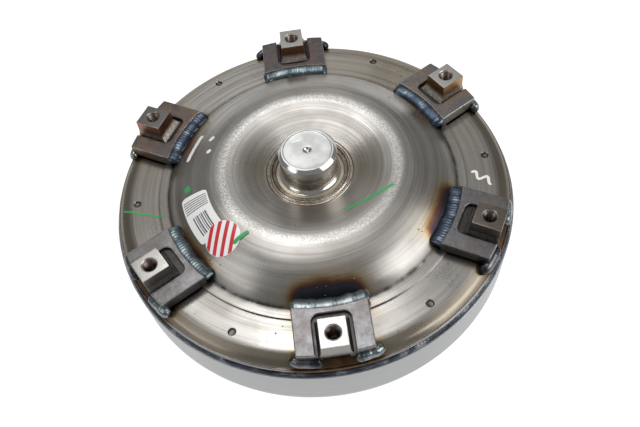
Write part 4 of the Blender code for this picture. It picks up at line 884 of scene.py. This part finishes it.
def build_lugs():
    """The six lugs, each with its thread, its inner weld bead and its two outer ones."""
    body = lug_body()
    thread = thread_mesh()
    finishes = {look: weld_finish(look) for look in WELD_LOOKS}
    thread_steel = plain_finish("thread_steel", (0.22, 0.18, 0.16), 1.0, 0.28, 900.0)
    for i, angle in enumerate(LUG_ANGLES):
        number = i + 1
        piece("lug_{}".format(number), body.copy(), lug_finish(i), "lug_steel", angle,
              ["drive_lug_{}".format(number)], flat_normals=True)
        piece("lug_thread_{}".format(number), thread.copy(), thread_steel, "lug_steel", angle)
        chooser = random.Random(40 + i)
        left, right = 26.0 + chooser.uniform(0.0, 2.0), 26.0 + chooser.uniform(0.0, 2.0)
        route = [(x, y, INNER_BEAD_Z) for x, y in arc_points(INNER_BEAD_R, -left, right, 20)]
        half_width, ripple = INNER_BEADS[i]
        mesh = bead_mesh("inner_bead", route, half_width, 3.1, 3.0, 11 + i, ripple, tilt=1.1)
        piece("lug_bead_{}".format(number), mesh, finishes[BEAD_LOOKS[i][0]], "weld_steel", angle)
        for side, name, look in ((-1.0, "left", BEAD_LOOKS[i][1]), (1.0, "right", BEAD_LOOKS[i][2])):
            start = 10.0 + chooser.uniform(-1.0, 2.0)
            reach = 31.0 + chooser.uniform(-1.5, 1.0)
            route = outer_route(start, reach, side)
            mesh = bead_mesh("outer_bead", route, 3.7, 4.3, 4.6, 31 + i + int(side), 0.16, 2.1, 4.0)
            piece("lug_corner_bead_{}_{}".format(number, name), mesh, finishes[look], "weld_steel", angle)


def build_spatter():
    """Small balls of weld spatter, sunk a little into the cover near the lugs."""
    chooser = random.Random(7)
    meshes = []
    for index in range(46):
        lug = chooser.choice((0, 1, 1, 2, 4, 4, 5))
        outside = chooser.random() < 0.5
        radius = chooser.uniform(121.0, 146.0) if outside else chooser.uniform(90.0, 104.0)
        if outside:
            spread = chooser.choice((-1.0, 1.0)) * chooser.uniform(15.5, 20.0)
        else:
            spread = chooser.uniform(-15.0, 15.0)
        x, y = polar(radius, LUG_ANGLES[lug] + spread)
        shape = bmesh.new()
        bmesh.ops.create_icosphere(shape, subdivisions=2, radius=MM)
        size = chooser.uniform(0.25, 0.7)
        for vert in shape.verts:
            lump = 1.0 + 0.12 * math.sin(5.0 * vert.co.x / MM + index) * math.cos(4.0 * vert.co.y / MM)
            vert.co = Vector((vert.co.x * size * lump, vert.co.y * size * lump, vert.co.z * size * 0.7))
            vert.co += Vector((x, y, dome_height(radius) + 0.15 * size)) * MM
        mesh = bpy.data.meshes.new("ball")
        shape.to_mesh(mesh)
        shape.free()
        meshes.append(mesh)
    mesh = finish_mesh(joined("weld_spatter", meshes), 60.0)
    piece("weld_spatter", mesh, bpy.data.materials["weld_silver"], "weld_steel")


# ------------------------------------------------------------------ drum and hub

def build_closure_weld():
    """The two-pass weld that closes the drum, rippled all round."""
    def ripple(r, z, a):
        arc = a * 151.0
        first = np.abs(np.sin(math.pi * arc / 2.6 + 0.8 * smooth_noise(a * 9.0, 2)))
        second = np.abs(np.sin(math.pi * arc / 2.3 + 0.9 * smooth_noise(a * 7.0, 3)))
        outward = np.clip((r - 150.0) / 2.0, 0.0, 1.0)
        upper = z > -10.2
        change = np.where(upper, first, second) - 0.5
        slow = 0.15 * smooth_noise(a * 12.0, 4)
        return r + outward * (0.34 * change + slow), z + np.where(upper, 0.16 * change * outward, 0.0)

    profile = [(149.0, -12.3, 0.0), (152.0, -12.3, 0.3), (152.7, -11.6, 0.5), (152.3, -10.6, 0.4),
               (151.9, -10.3, 0.2), (152.2, -9.6, 0.5), (151.8, -8.7, 0.5), (150.6, -8.3, 0.4),
               (149.0, -8.4, 0.0)]
    mesh = turned("seam_weld", divided(rounded(profile, 3), 0.8), 1080, ripple, WELD_SHARP)
    f = Finish("weld_seam", 1.0, 0.3)
    cloud = f.noise(60.0, 4.0, 0.6, distortion=0.4)
    steel = f.ramp(cloud, [(0.42, (0.018, 0.022, 0.030)), (0.56, (0.045, 0.056, 0.076)),
                           (0.70, (0.26, 0.28, 0.30))])
    f.set("Base Color", steel)
    f.set("Roughness", f.scale(cloud, 0.35, 0.7, 0.42, 0.22))
    f.bump(f.noise(800.0, 3.0, 0.6), 0.3, 0.00015)
    piece("seam_weld", mesh, f.material, "weld_steel", replaces=["closure_weld"])


# The shell's bowl hangs below its centre as two quarter ellipses; its inner wall is one more
SHELL_CENTRE = (98.0, -45.0)
BOWL_OUT, BOWL_IN, BOWL_DEPTH = 55.5, 58.0, 42.5
WALL_CENTRE, WALL_REACH, WALL_DEPTH = (98.0, -50.0), 51.0, 33.0
SHELL_FOOT_R = 56.3
TAB_COUNT = 31
# Rows of blade-tab dents: angle round the bowl, half length
TAB_ROWS = [(38.0, 4.6), (74.0, 4.2), (114.0, 3.4)]


def bowl_arc(centre, reach, depth, start, end, steps):
    """Points of an ellipse below its centre, between two angles in radians."""
    points = []
    for i in range(steps + 1):
        angle = start + (end - start) * i / steps
        points.append((centre[0] + reach * math.cos(angle), centre[1] - depth * math.sin(angle)))
    return points


def build_shell():
    """The impeller shell: a rolled drum edge, a round bowl and the dents where the blade tabs are set."""
    quarter = math.pi / 2.0
    foot = math.acos((SHELL_FOOT_R - SHELL_CENTRE[0]) / BOWL_IN)
    wall_foot = math.acos((SHELL_FOOT_R - WALL_CENTRE[0]) / WALL_REACH)
    outline = [(DRUM_R - 0.5, -12.3), (DRUM_R, -12.8)]
    outline += bowl_arc(SHELL_CENTRE, DRUM_R - SHELL_CENTRE[0], BOWL_DEPTH, 0.0, quarter, 60)
    outline += bowl_arc(SHELL_CENTRE, BOWL_IN, BOWL_DEPTH, quarter, foot, 26)[1:]
    outline += bowl_arc(WALL_CENTRE, WALL_REACH, WALL_DEPTH, wall_foot, 0.0, 20)
    outline.append((149.0, -12.3))

    def dents(r, z, a):
        """Short radial dents in three rows."""
        push = np.zeros_like(r)
        for row_angle, half_length in TAB_ROWS:
            row_r = SHELL_CENTRE[0] + BOWL_OUT * math.cos(math.radians(row_angle))
            row_z = SHELL_CENTRE[1] - BOWL_DEPTH * math.sin(math.radians(row_angle))
            lead = 0.10 * row_angle / 90.0
            pitch = 2.0 * math.pi / TAB_COUNT
            turn = (a + lead + pitch / 2.0) % pitch - pitch / 2.0
            sideways = turn * row_r
            along = np.hypot(r - row_r, z - row_z)
            off = np.hypot(np.maximum(along - half_length, 0.0), sideways)
            push = np.maximum(push, 0.75 * np.exp(-(off / 1.35) ** 4))
        out = (r - SHELL_CENTRE[0]) / BOWL_OUT
        down = (z - SHELL_CENTRE[1]) / BOWL_DEPTH
        push = np.where((np.hypot(out, down) > 0.93) & (z < -40.0), push, 0.0)
        return r - push * out, z - push * down

    mesh = turned("drum_shell", outline, 620, dents, 40.0)
    piece("drum_shell", mesh, shell_finish(), "shell_steel", replaces=["impeller_shell"])


def build_hub():
    """The pump hub with its two drive slots, and the weld that holds it in the shell."""
    end = HUB_END
    profile = [(20.3, end, 0.5), (22.6, end, 0.2), (23.8, end + 1.2, 0.4), (23.8, -78.4, 0.0),
               (24.3, -76.0, 1.0), (27.3, -74.2, 1.6), (56.0, -74.2, 0.5), (56.0, -69.6, 0.5),
               (34.0, -66.3, 1.0), (20.3, -66.3, 0.5)]
    body = turned("hub", divided(rounded(profile, 4), 3.0), ROUND_SEGMENTS * 2)
    slot = prism("slot", rectangle(-27.0, 27.0, 5.0), end - 2.0, end + 13.0, bevel=1.6)
    mesh = boolean(body, [("DIFFERENCE", slot)])
    f = Finish("hub_ground_steel", 1.0, 0.22)
    grain = f.noise(1.0, 3.0, 0.6, f.rings(5200.0, 6.0))
    blotch = f.noise(40.0, 4.0, 0.6)
    f.set("Base Color", f.ramp(grain, [(0.3, (0.42, 0.415, 0.405)), (0.7, (0.56, 0.555, 0.545))]))
    f.set("Roughness", f.scale(blotch, 0.3, 0.7, 0.16, 0.30))
    f.bump(grain, 0.3, 0.00004)
    f.turned_grain(0.5)
    piece("hub", mesh, f.material, "hub_steel", replaces=["impeller_hub"])

    def ripple(r, z, a):
        low = z < -73.0
        wave = np.abs(np.sin(a * 57.0 * math.pi / 2.4)) - 0.5
        return r, z - np.where(low, 0.28 * wave + 0.15 * smooth_noise(a * 8.0, 6), 0.0)

    ring = [(53.4, -73.0, 0.3), (53.8, -75.0, 0.8), (56.4, -76.4, 1.2), (59.0, -75.9, 0.9),
            (60.0, -73.6, 0.4), (57.0, -72.0, 0.3)]
    weld = turned("hub_weld", divided(rounded(ring, 4), 0.9), 640, ripple, WELD_SHARP)
    piece("hub_weld", weld, bpy.data.materials["weld_teal"], "weld_steel")


def build_balance_weight():
    """A small curved plate tacked to the drum at its two ends."""
    low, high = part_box("balance_weight")
    middle = (low + high) / 2.0
    angle = math.degrees(math.atan2(middle.y, middle.x))
    z0, z1 = (low.z - FLANGE_Z) / MM, (high.z - FLANGE_Z) / MM
    half = math.degrees(14.0 / DRUM_R)

    def point_at(u, v, layer):
        a, b = 2.0 * u - 1.0, 2.0 * v - 1.0
        corner = 1.0 - 0.06 * (abs(a) ** 6) * (abs(b) ** 6)
        inset = layer * 0.35 * max(abs(a) ** 8, abs(b) ** 6)
        x, y = polar(DRUM_R + (0.1, 2.35)[layer] - inset, half * a * corner)
        return x, y, (z0 + z1) / 2.0 + (z1 - z0) / 2.0 * b * corner

    mesh = film_mesh("balance_plate", 15, 29, point_at)
    piece("balance_plate", mesh, shell_finish(), "shell_steel", angle, ["balance_weight"])
    for side in (-1.0, 1.0):
        x, y = polar(DRUM_R + 0.4, side * (half + 0.35))
        route = [(x, y, z0 + 3.0 + k) for k in range(int(z1 - z0) - 5)]
        tack = bead_upright(route, 1.9, 1.3, side)
        name = "balance_tack_{}".format("left" if side < 0.0 else "right")
        piece(name, tack, bpy.data.materials["weld_teal"], "weld_steel", angle)


def bead_upright(route, half_width, crown, seed):
    """A short weld bead that runs up the drum."""
    points = []
    sides, stations = 16, 40
    low, high = Vector(route[0]), Vector(route[-1])
    outward = Vector((low.x, low.y, 0.0)).normalized()
    across = Vector((-outward.y, outward.x, 0.0))
    for i in range(stations + 1):
        share = i / stations
        centre = low.lerp(high, share)
        close = max(0.05, math.sqrt(max(0.0, 1.0 - (2.0 * share - 1.0) ** 4)))
        ripple = 1.0 + 0.12 * abs(math.sin(share * 12.0 + seed))
        for k in range(sides):
            angle = 2.0 * math.pi * k / sides
            points.append(tuple(centre + across * (half_width * close * math.cos(angle))
                                + outward * (crown * close * ripple * math.sin(angle))))
    return mesh_of("tack", points, tube_faces(stations + 1, sides), WELD_SHARP)


# ------------------------------------------------------------------ label and paint marks

def on_dome(x, y, lift):
    """A point at a height above the cover's face."""
    return x, y, dome_height(math.hypot(x, y)) + lift


def patch(name, corner_at, rows, columns, material, slot, lift=0.06, thickness=0.12):
    """A thin closed film that follows the cover; corner_at(u, v) gives (x, y) for u and v from 0 to 1."""
    def point_at(u, v, layer):
        x, y = corner_at(u, v)
        return on_dome(x, y, (lift + thickness, lift)[layer])

    mesh = film_mesh(name, rows, columns, point_at)
    piece(name, mesh, material, slot)


def ring_patch(name, az0, az1, r0, r1, material, lift=0.06, corner=0.0):
    """A film between two radii and two azimuths, with corners rounded by the given length."""
    middle_r = (r0 + r1) / 2.0

    def corner_at(u, v):
        along = (az1 - az0) * math.pi / 180.0 * middle_r
        distance = min(u, 1.0 - u) * along
        cut = 0.0
        if distance < corner:
            cut = corner - math.sqrt(max(0.0, corner ** 2 - (corner - distance) ** 2))
        radius = (r0 + cut) + (r1 - r0 - 2.0 * cut) * v
        return polar(radius, az0 + (az1 - az0) * u)

    columns = max(3, int((az1 - az0) * math.pi / 180.0 * middle_r / 0.7))
    rows = max(3, int((r1 - r0) / 1.0))
    patch(name, corner_at, rows, columns, material, "label_film", lift)


def stroke(name, line, half_width, material, seed, lift=0.03):
    """A brush stroke along (x, y) points, with round ends and an uneven edge."""
    lengths = route_lengths(line)
    total = lengths[-1]

    def corner_at(u, v):
        s = u * total
        along = along_route(line, lengths, s + 0.5) - along_route(line, lengths, s - 0.5)
        across = Vector((-along.y, along.x)).normalized()
        margin = min(s, total - s)
        close = math.sqrt(max(0.02, 1.0 - (1.0 - min(1.0, margin / half_width)) ** 2))
        rough = 1.0 + 0.12 * float(smooth_noise(s / 2.0 + seed, seed + int(v > 0.5)))
        return along_route(line, lengths, s) + across * (2.0 * v - 1.0) * half_width * close * rough

    patch(name, corner_at, 5, max(6, int(total / 0.6)), material, "paint_mark", lift, 0.08)


def between(start, end, count, bow=0.0):
    """Points from one (azimuth, radius) to another, bowed sideways a little."""
    a, b = Vector(polar(start[1], start[0])), Vector(polar(end[1], end[0]))
    side = Vector((-(b - a).y, (b - a).x)).normalized()
    points = []
    for i in range(count + 1):
        t = i / count
        point = a.lerp(b, t) + side * bow * 4.0 * t * (1.0 - t)
        points.append((point.x, point.y))
    return points


# The round sticker: its middle, radius, the lean of its stripes, their width and places
STICKER_CENTRE = Vector(polar(85.6, 218.5))
STICKER_R = 13.1
STRIPE_LEAN = 74.0
STRIPE_WIDTH = 2.7
STRIPE_OFFSETS = (9.6, 4.3, -1.5, -7.4)


def build_sticker(white, red):
    """A round film with four stripes that end just inside its edge."""
    def disc(u, v):
        a, b = 2.0 * u - 1.0, 2.0 * v - 1.0
        x, y = a * math.sqrt(1.0 - b * b / 2.0), b * math.sqrt(1.0 - a * a / 2.0)
        return STICKER_CENTRE + Vector((x, y)) * STICKER_R

    def stripe(offset):
        direction = Vector(polar(1.0, STRIPE_LEAN))
        side = Vector((-direction.y, direction.x))

        def corner_at(u, v):
            across = offset + (v - 0.5) * STRIPE_WIDTH
            reach = math.sqrt(max(0.0, (STICKER_R * 0.985) ** 2 - across * across))
            return STICKER_CENTRE + direction * (2.0 * u - 1.0) * reach + side * across
        return corner_at

    patch("sticker", disc, 19, 19, white, "label_film", 0.19)
    for k, offset in enumerate(STRIPE_OFFSETS):
        patch("sticker_stripe_{}".format(k + 1), stripe(offset), 5, 19, red, "label_film", 0.30)


def build_label():
    """A plain part label with lines and bars, and a round striped sticker over its lower end."""
    white = label_finish("label_white", (0.93, 0.93, 0.92))
    ink = label_finish("label_ink", (0.11, 0.11, 0.12))
    red = label_finish("label_red", (0.62, 0.02, 0.03))
    ring_patch("label_sheet", 187.4, 213.5, 78.2, 98.6, white, corner=3.0)
    for k in range(6):
        az = 190.0 + 1.22 * k
        ring_patch("label_line_{}".format(k + 1), az, az + 0.42, 79.4, 97.6, ink, 0.17)
    for k, width in enumerate((1.0, 0.6, 0.9, 0.5, 1.0, 0.6, 0.9)):
        r = 83.6 + 1.62 * k
        ring_patch("label_bar_{}".format(k + 1), 199.6, 210.4, r, r + width, ink, 0.17)
    build_sticker(white, red)


def build_marks():
    """The inspection strokes in white and green paint."""
    white = paint_finish("paint_white", (0.84, 0.83, 0.79), 0.5)
    green = paint_finish("paint_green", (0.035, 0.36, 0.10), 0.6)
    stroke("mark_bar", between((150.3, 92.6), (166.4, 95.6), 10, -0.6), 1.6, white, 1)
    stroke("mark_dash_1", between((150.6, 80.9), (154.2, 83.0), 4), 1.4, white, 2)
    stroke("mark_dash_2", between((160.0, 78.2), (163.0, 80.2), 4), 1.4, white, 3)
    stroke("mark_green_dot", between((181.3, 92.7), (184.9, 92.7), 4), 2.7, green, 4)
    stroke("mark_green_dash", between((225.2, 84.6), (227.9, 71.4), 6, 0.6), 1.5, green, 5, 0.42)
    stroke("mark_green_flange", between((188.4, 115.6), (182.0, 146.4), 12, 0.5), 0.75, green, 6)
    stroke("mark_green_dish", between((-64.3, 47.3), (-26.3, 65.2), 14, -1.0), 1.05, green, 7)
    wave = []
    place_x, place_y = polar(129.0, -8.5)
    turn = math.radians(-40.0)
    for k in range(40):
        along, across = 18.0 * k / 39.0 - 9.0, 2.6 * math.sin(0.30 * k)
        wave.append((place_x + along * math.cos(turn) - across * math.sin(turn),
                     place_y + along * math.sin(turn) + across * math.cos(turn)))
    stroke("mark_flange_wave", wave, 1.05, white, 8)


def build_pilot_mark():
    """A short white stroke of paint on the pilot's end face."""
    top = PILOT_TOP - 0.22
    white = paint_finish("paint_bright_white", (0.97, 0.97, 0.95), 0.1)
    centre = Vector(polar(11.5, 128.0))
    turn = math.radians(14.0)

    def point_at(u, v, layer):
        a, b = 2.0 * u - 1.0, 2.0 * v - 1.0
        width = 0.85 * math.sqrt(max(0.05, 1.0 - a * a)) * (1.0 + 0.2 * math.sin(5.0 * a))
        x, y = 4.2 * a, width * b + 0.5 * a * a
        return (centre.x + x * math.cos(turn) - y * math.sin(turn),
                centre.y + x * math.sin(turn) + y * math.cos(turn), top - 0.5 * layer)

    mesh = film_mesh("mark_pilot", 5, 14, point_at)
    piece("mark_pilot", mesh, white, "paint_mark")


# ------------------------------------------------------------------ the pieces inside

# Each CAD material slot: finish name, colour, metallic, roughness, grain, contrast, bump, turned
CAD_LOOKS = {
    "cover_steel": ("cad_cover", (0.50, 0.48, 0.45), 1.0, 0.32, 500.0, 0.25, 0.15, True),
    "lug_steel": ("cad_lug", (0.20, 0.20, 0.21), 1.0, 0.45, 400.0),
    "weld_steel": ("cad_weld", (0.09, 0.10, 0.12), 1.0, 0.38, 300.0),
    "shell_steel": ("cad_shell", (0.58, 0.58, 0.57), 1.0, 0.42, 300.0, 0.25, 0.15, True),
    "hub_steel": ("cad_hub", (0.62, 0.61, 0.59), 1.0, 0.25, 900.0, 0.25, 0.15, True),
    "pressed_steel": ("pressed_steel", (0.42, 0.42, 0.42), 1.0, 0.40, 260.0),
    "machined_steel": ("machined_steel", (0.55, 0.55, 0.54), 1.0, 0.26, 900.0, 0.25, 0.15, True),
    "rivet_steel": ("rivet_steel", (0.50, 0.50, 0.50), 1.0, 0.34, 500.0),
    "spring_steel": ("spring_steel", (0.20, 0.21, 0.25), 1.0, 0.30, 500.0),
    "bearing_steel": ("bearing_steel", (0.66, 0.66, 0.66), 1.0, 0.18, 900.0, 0.1, 0.08),
    "cage_brass": ("cage_brass", (0.60, 0.42, 0.16), 1.0, 0.32, 400.0),
    "stator_aluminium": ("stator_aluminium", (0.62, 0.62, 0.60), 1.0, 0.50, 700.0, 0.2, 0.5),
    "friction_paper": ("friction_paper", (0.14, 0.09, 0.05), 0.0, 0.90, 1200.0, 0.35, 0.6),
    "seal_polymer": ("seal_polymer", (0.03, 0.03, 0.03), 0.0, 0.55, 900.0, 0.2, 0.2),
}


def finish_inside():
    """Gives every CAD node the procedural finish of its material slot."""
    finishes = {slot: plain_finish(*look) for slot, look in CAD_LOOKS.items()}
    for part in frame["record"]["subparts"]:
        node = frame["nodes"][part["node"]]
        node.data.materials.clear()
        node.data.materials.append(finishes[part["material_slot"]])


# ------------------------------------------------------------------ stage, camera, light

CAMERA_ELEVATION, CAMERA_ROLL, CAMERA_LENS = 56.289, -7.623, 37.65
CAMERA_PLACE = (0.0031, -0.3079, FLANGE_Z + 0.4133)
# Softboxes: azimuth, elevation, distance, width, height, radiance
LIGHTS = {
    "key_overhead": (104.0, 71.0, 1.2, 0.60, 0.60, 3.8),
    "back_fill": (90.0, 50.0, 1.3, 0.80, 0.30, 0.6),
    "back_low": (90.0, 12.0, 1.4, 1.70, 0.36, 1.3),
    "left_high": (195.0, 52.0, 1.2, 0.40, 0.34, 1.3),
    "right_softbox": (-22.0, 34.0, 1.1, 0.85, 0.72, 3.6),
    "left_softbox": (205.0, 30.0, 1.2, 0.60, 0.34, 2.2),
}
FLOOR_REACH, FLOOR_GLOW, WORLD_STRENGTH = 6.0, 0.88, 0.30


def build_camera():
    """The camera, above the front of the cover and rolled a little."""
    elevation, roll = math.radians(CAMERA_ELEVATION), math.radians(CAMERA_ROLL)
    back = Vector((0.0, -math.cos(elevation), math.sin(elevation)))
    level = Vector((1.0, 0.0, 0.0))
    upright = Vector((0.0, math.sin(elevation), math.cos(elevation)))
    right = level * math.cos(roll) + upright * math.sin(roll)
    up = upright * math.cos(roll) - level * math.sin(roll)
    data = bpy.data.cameras.new("camera")
    data.sensor_width = 36.0
    data.lens = CAMERA_LENS
    camera = new_object("camera", data)
    turn = Matrix((right, up, back)).transposed().to_4x4()
    camera.matrix_world = Matrix.Translation(CAMERA_PLACE) @ turn
    bpy.context.scene.camera = camera


def softbox(name, azimuth, elevation, distance, width, height, radiance):
    """An area light of a given brightness that faces the middle of the cover."""
    data = bpy.data.lights.new(name, "AREA")
    data.shape = "RECTANGLE"
    data.size, data.size_y = width, height
    data.energy = radiance * math.pi * width * height
    light = new_object(name, data)
    a, e = math.radians(azimuth), math.radians(elevation)
    outward = Vector((math.cos(a) * math.cos(e), math.sin(a) * math.cos(e), math.sin(e)))
    target = Vector((0.0, 0.0, FLANGE_Z))
    light.location = target + outward * distance
    light.rotation_euler = (-outward).to_track_quat("-Z", "Y").to_euler()


def build_stage():
    """A pale glowing floor, an even grey world and the softboxes."""
    reach = FLOOR_REACH
    corners = [(-reach, -reach, 0.0), (reach, -reach, 0.0), (reach, reach, 0.0), (-reach, reach, 0.0)]
    mesh = bpy.data.meshes.new("floor")
    mesh.from_pydata(corners, [], [(0, 1, 2, 3)])
    floor = new_object("floor", mesh)
    f = Finish("floor_paper", 0.0, 0.9, (0.3, 0.3, 0.3), Emission_Strength=FLOOR_GLOW)
    f.shader.inputs["Emission Color"].default_value = (1.0, 1.0, 1.0, 1.0)
    mesh.materials.append(f.material)
    world = bpy.data.worlds.new("studio")
    bpy.context.scene.world = world
    world.use_nodes = True
    background = world.node_tree.nodes["Background"]
    background.inputs["Color"].default_value = (1.0, 1.0, 1.0, 1.0)
    background.inputs["Strength"].default_value = WORLD_STRENGTH
    for name, place in LIGHTS.items():
        softbox(name, *place)


bpy.context.scene.view_settings.view_transform = "Standard"
build_camera()
build_stage()
finish_inside()
build_cover()
build_pilot()
build_pilot_weld()
build_lugs()
build_spatter()
build_closure_weld()
build_shell()
build_hub()
build_balance_weight()
build_label()
build_marks()
build_pilot_mark()
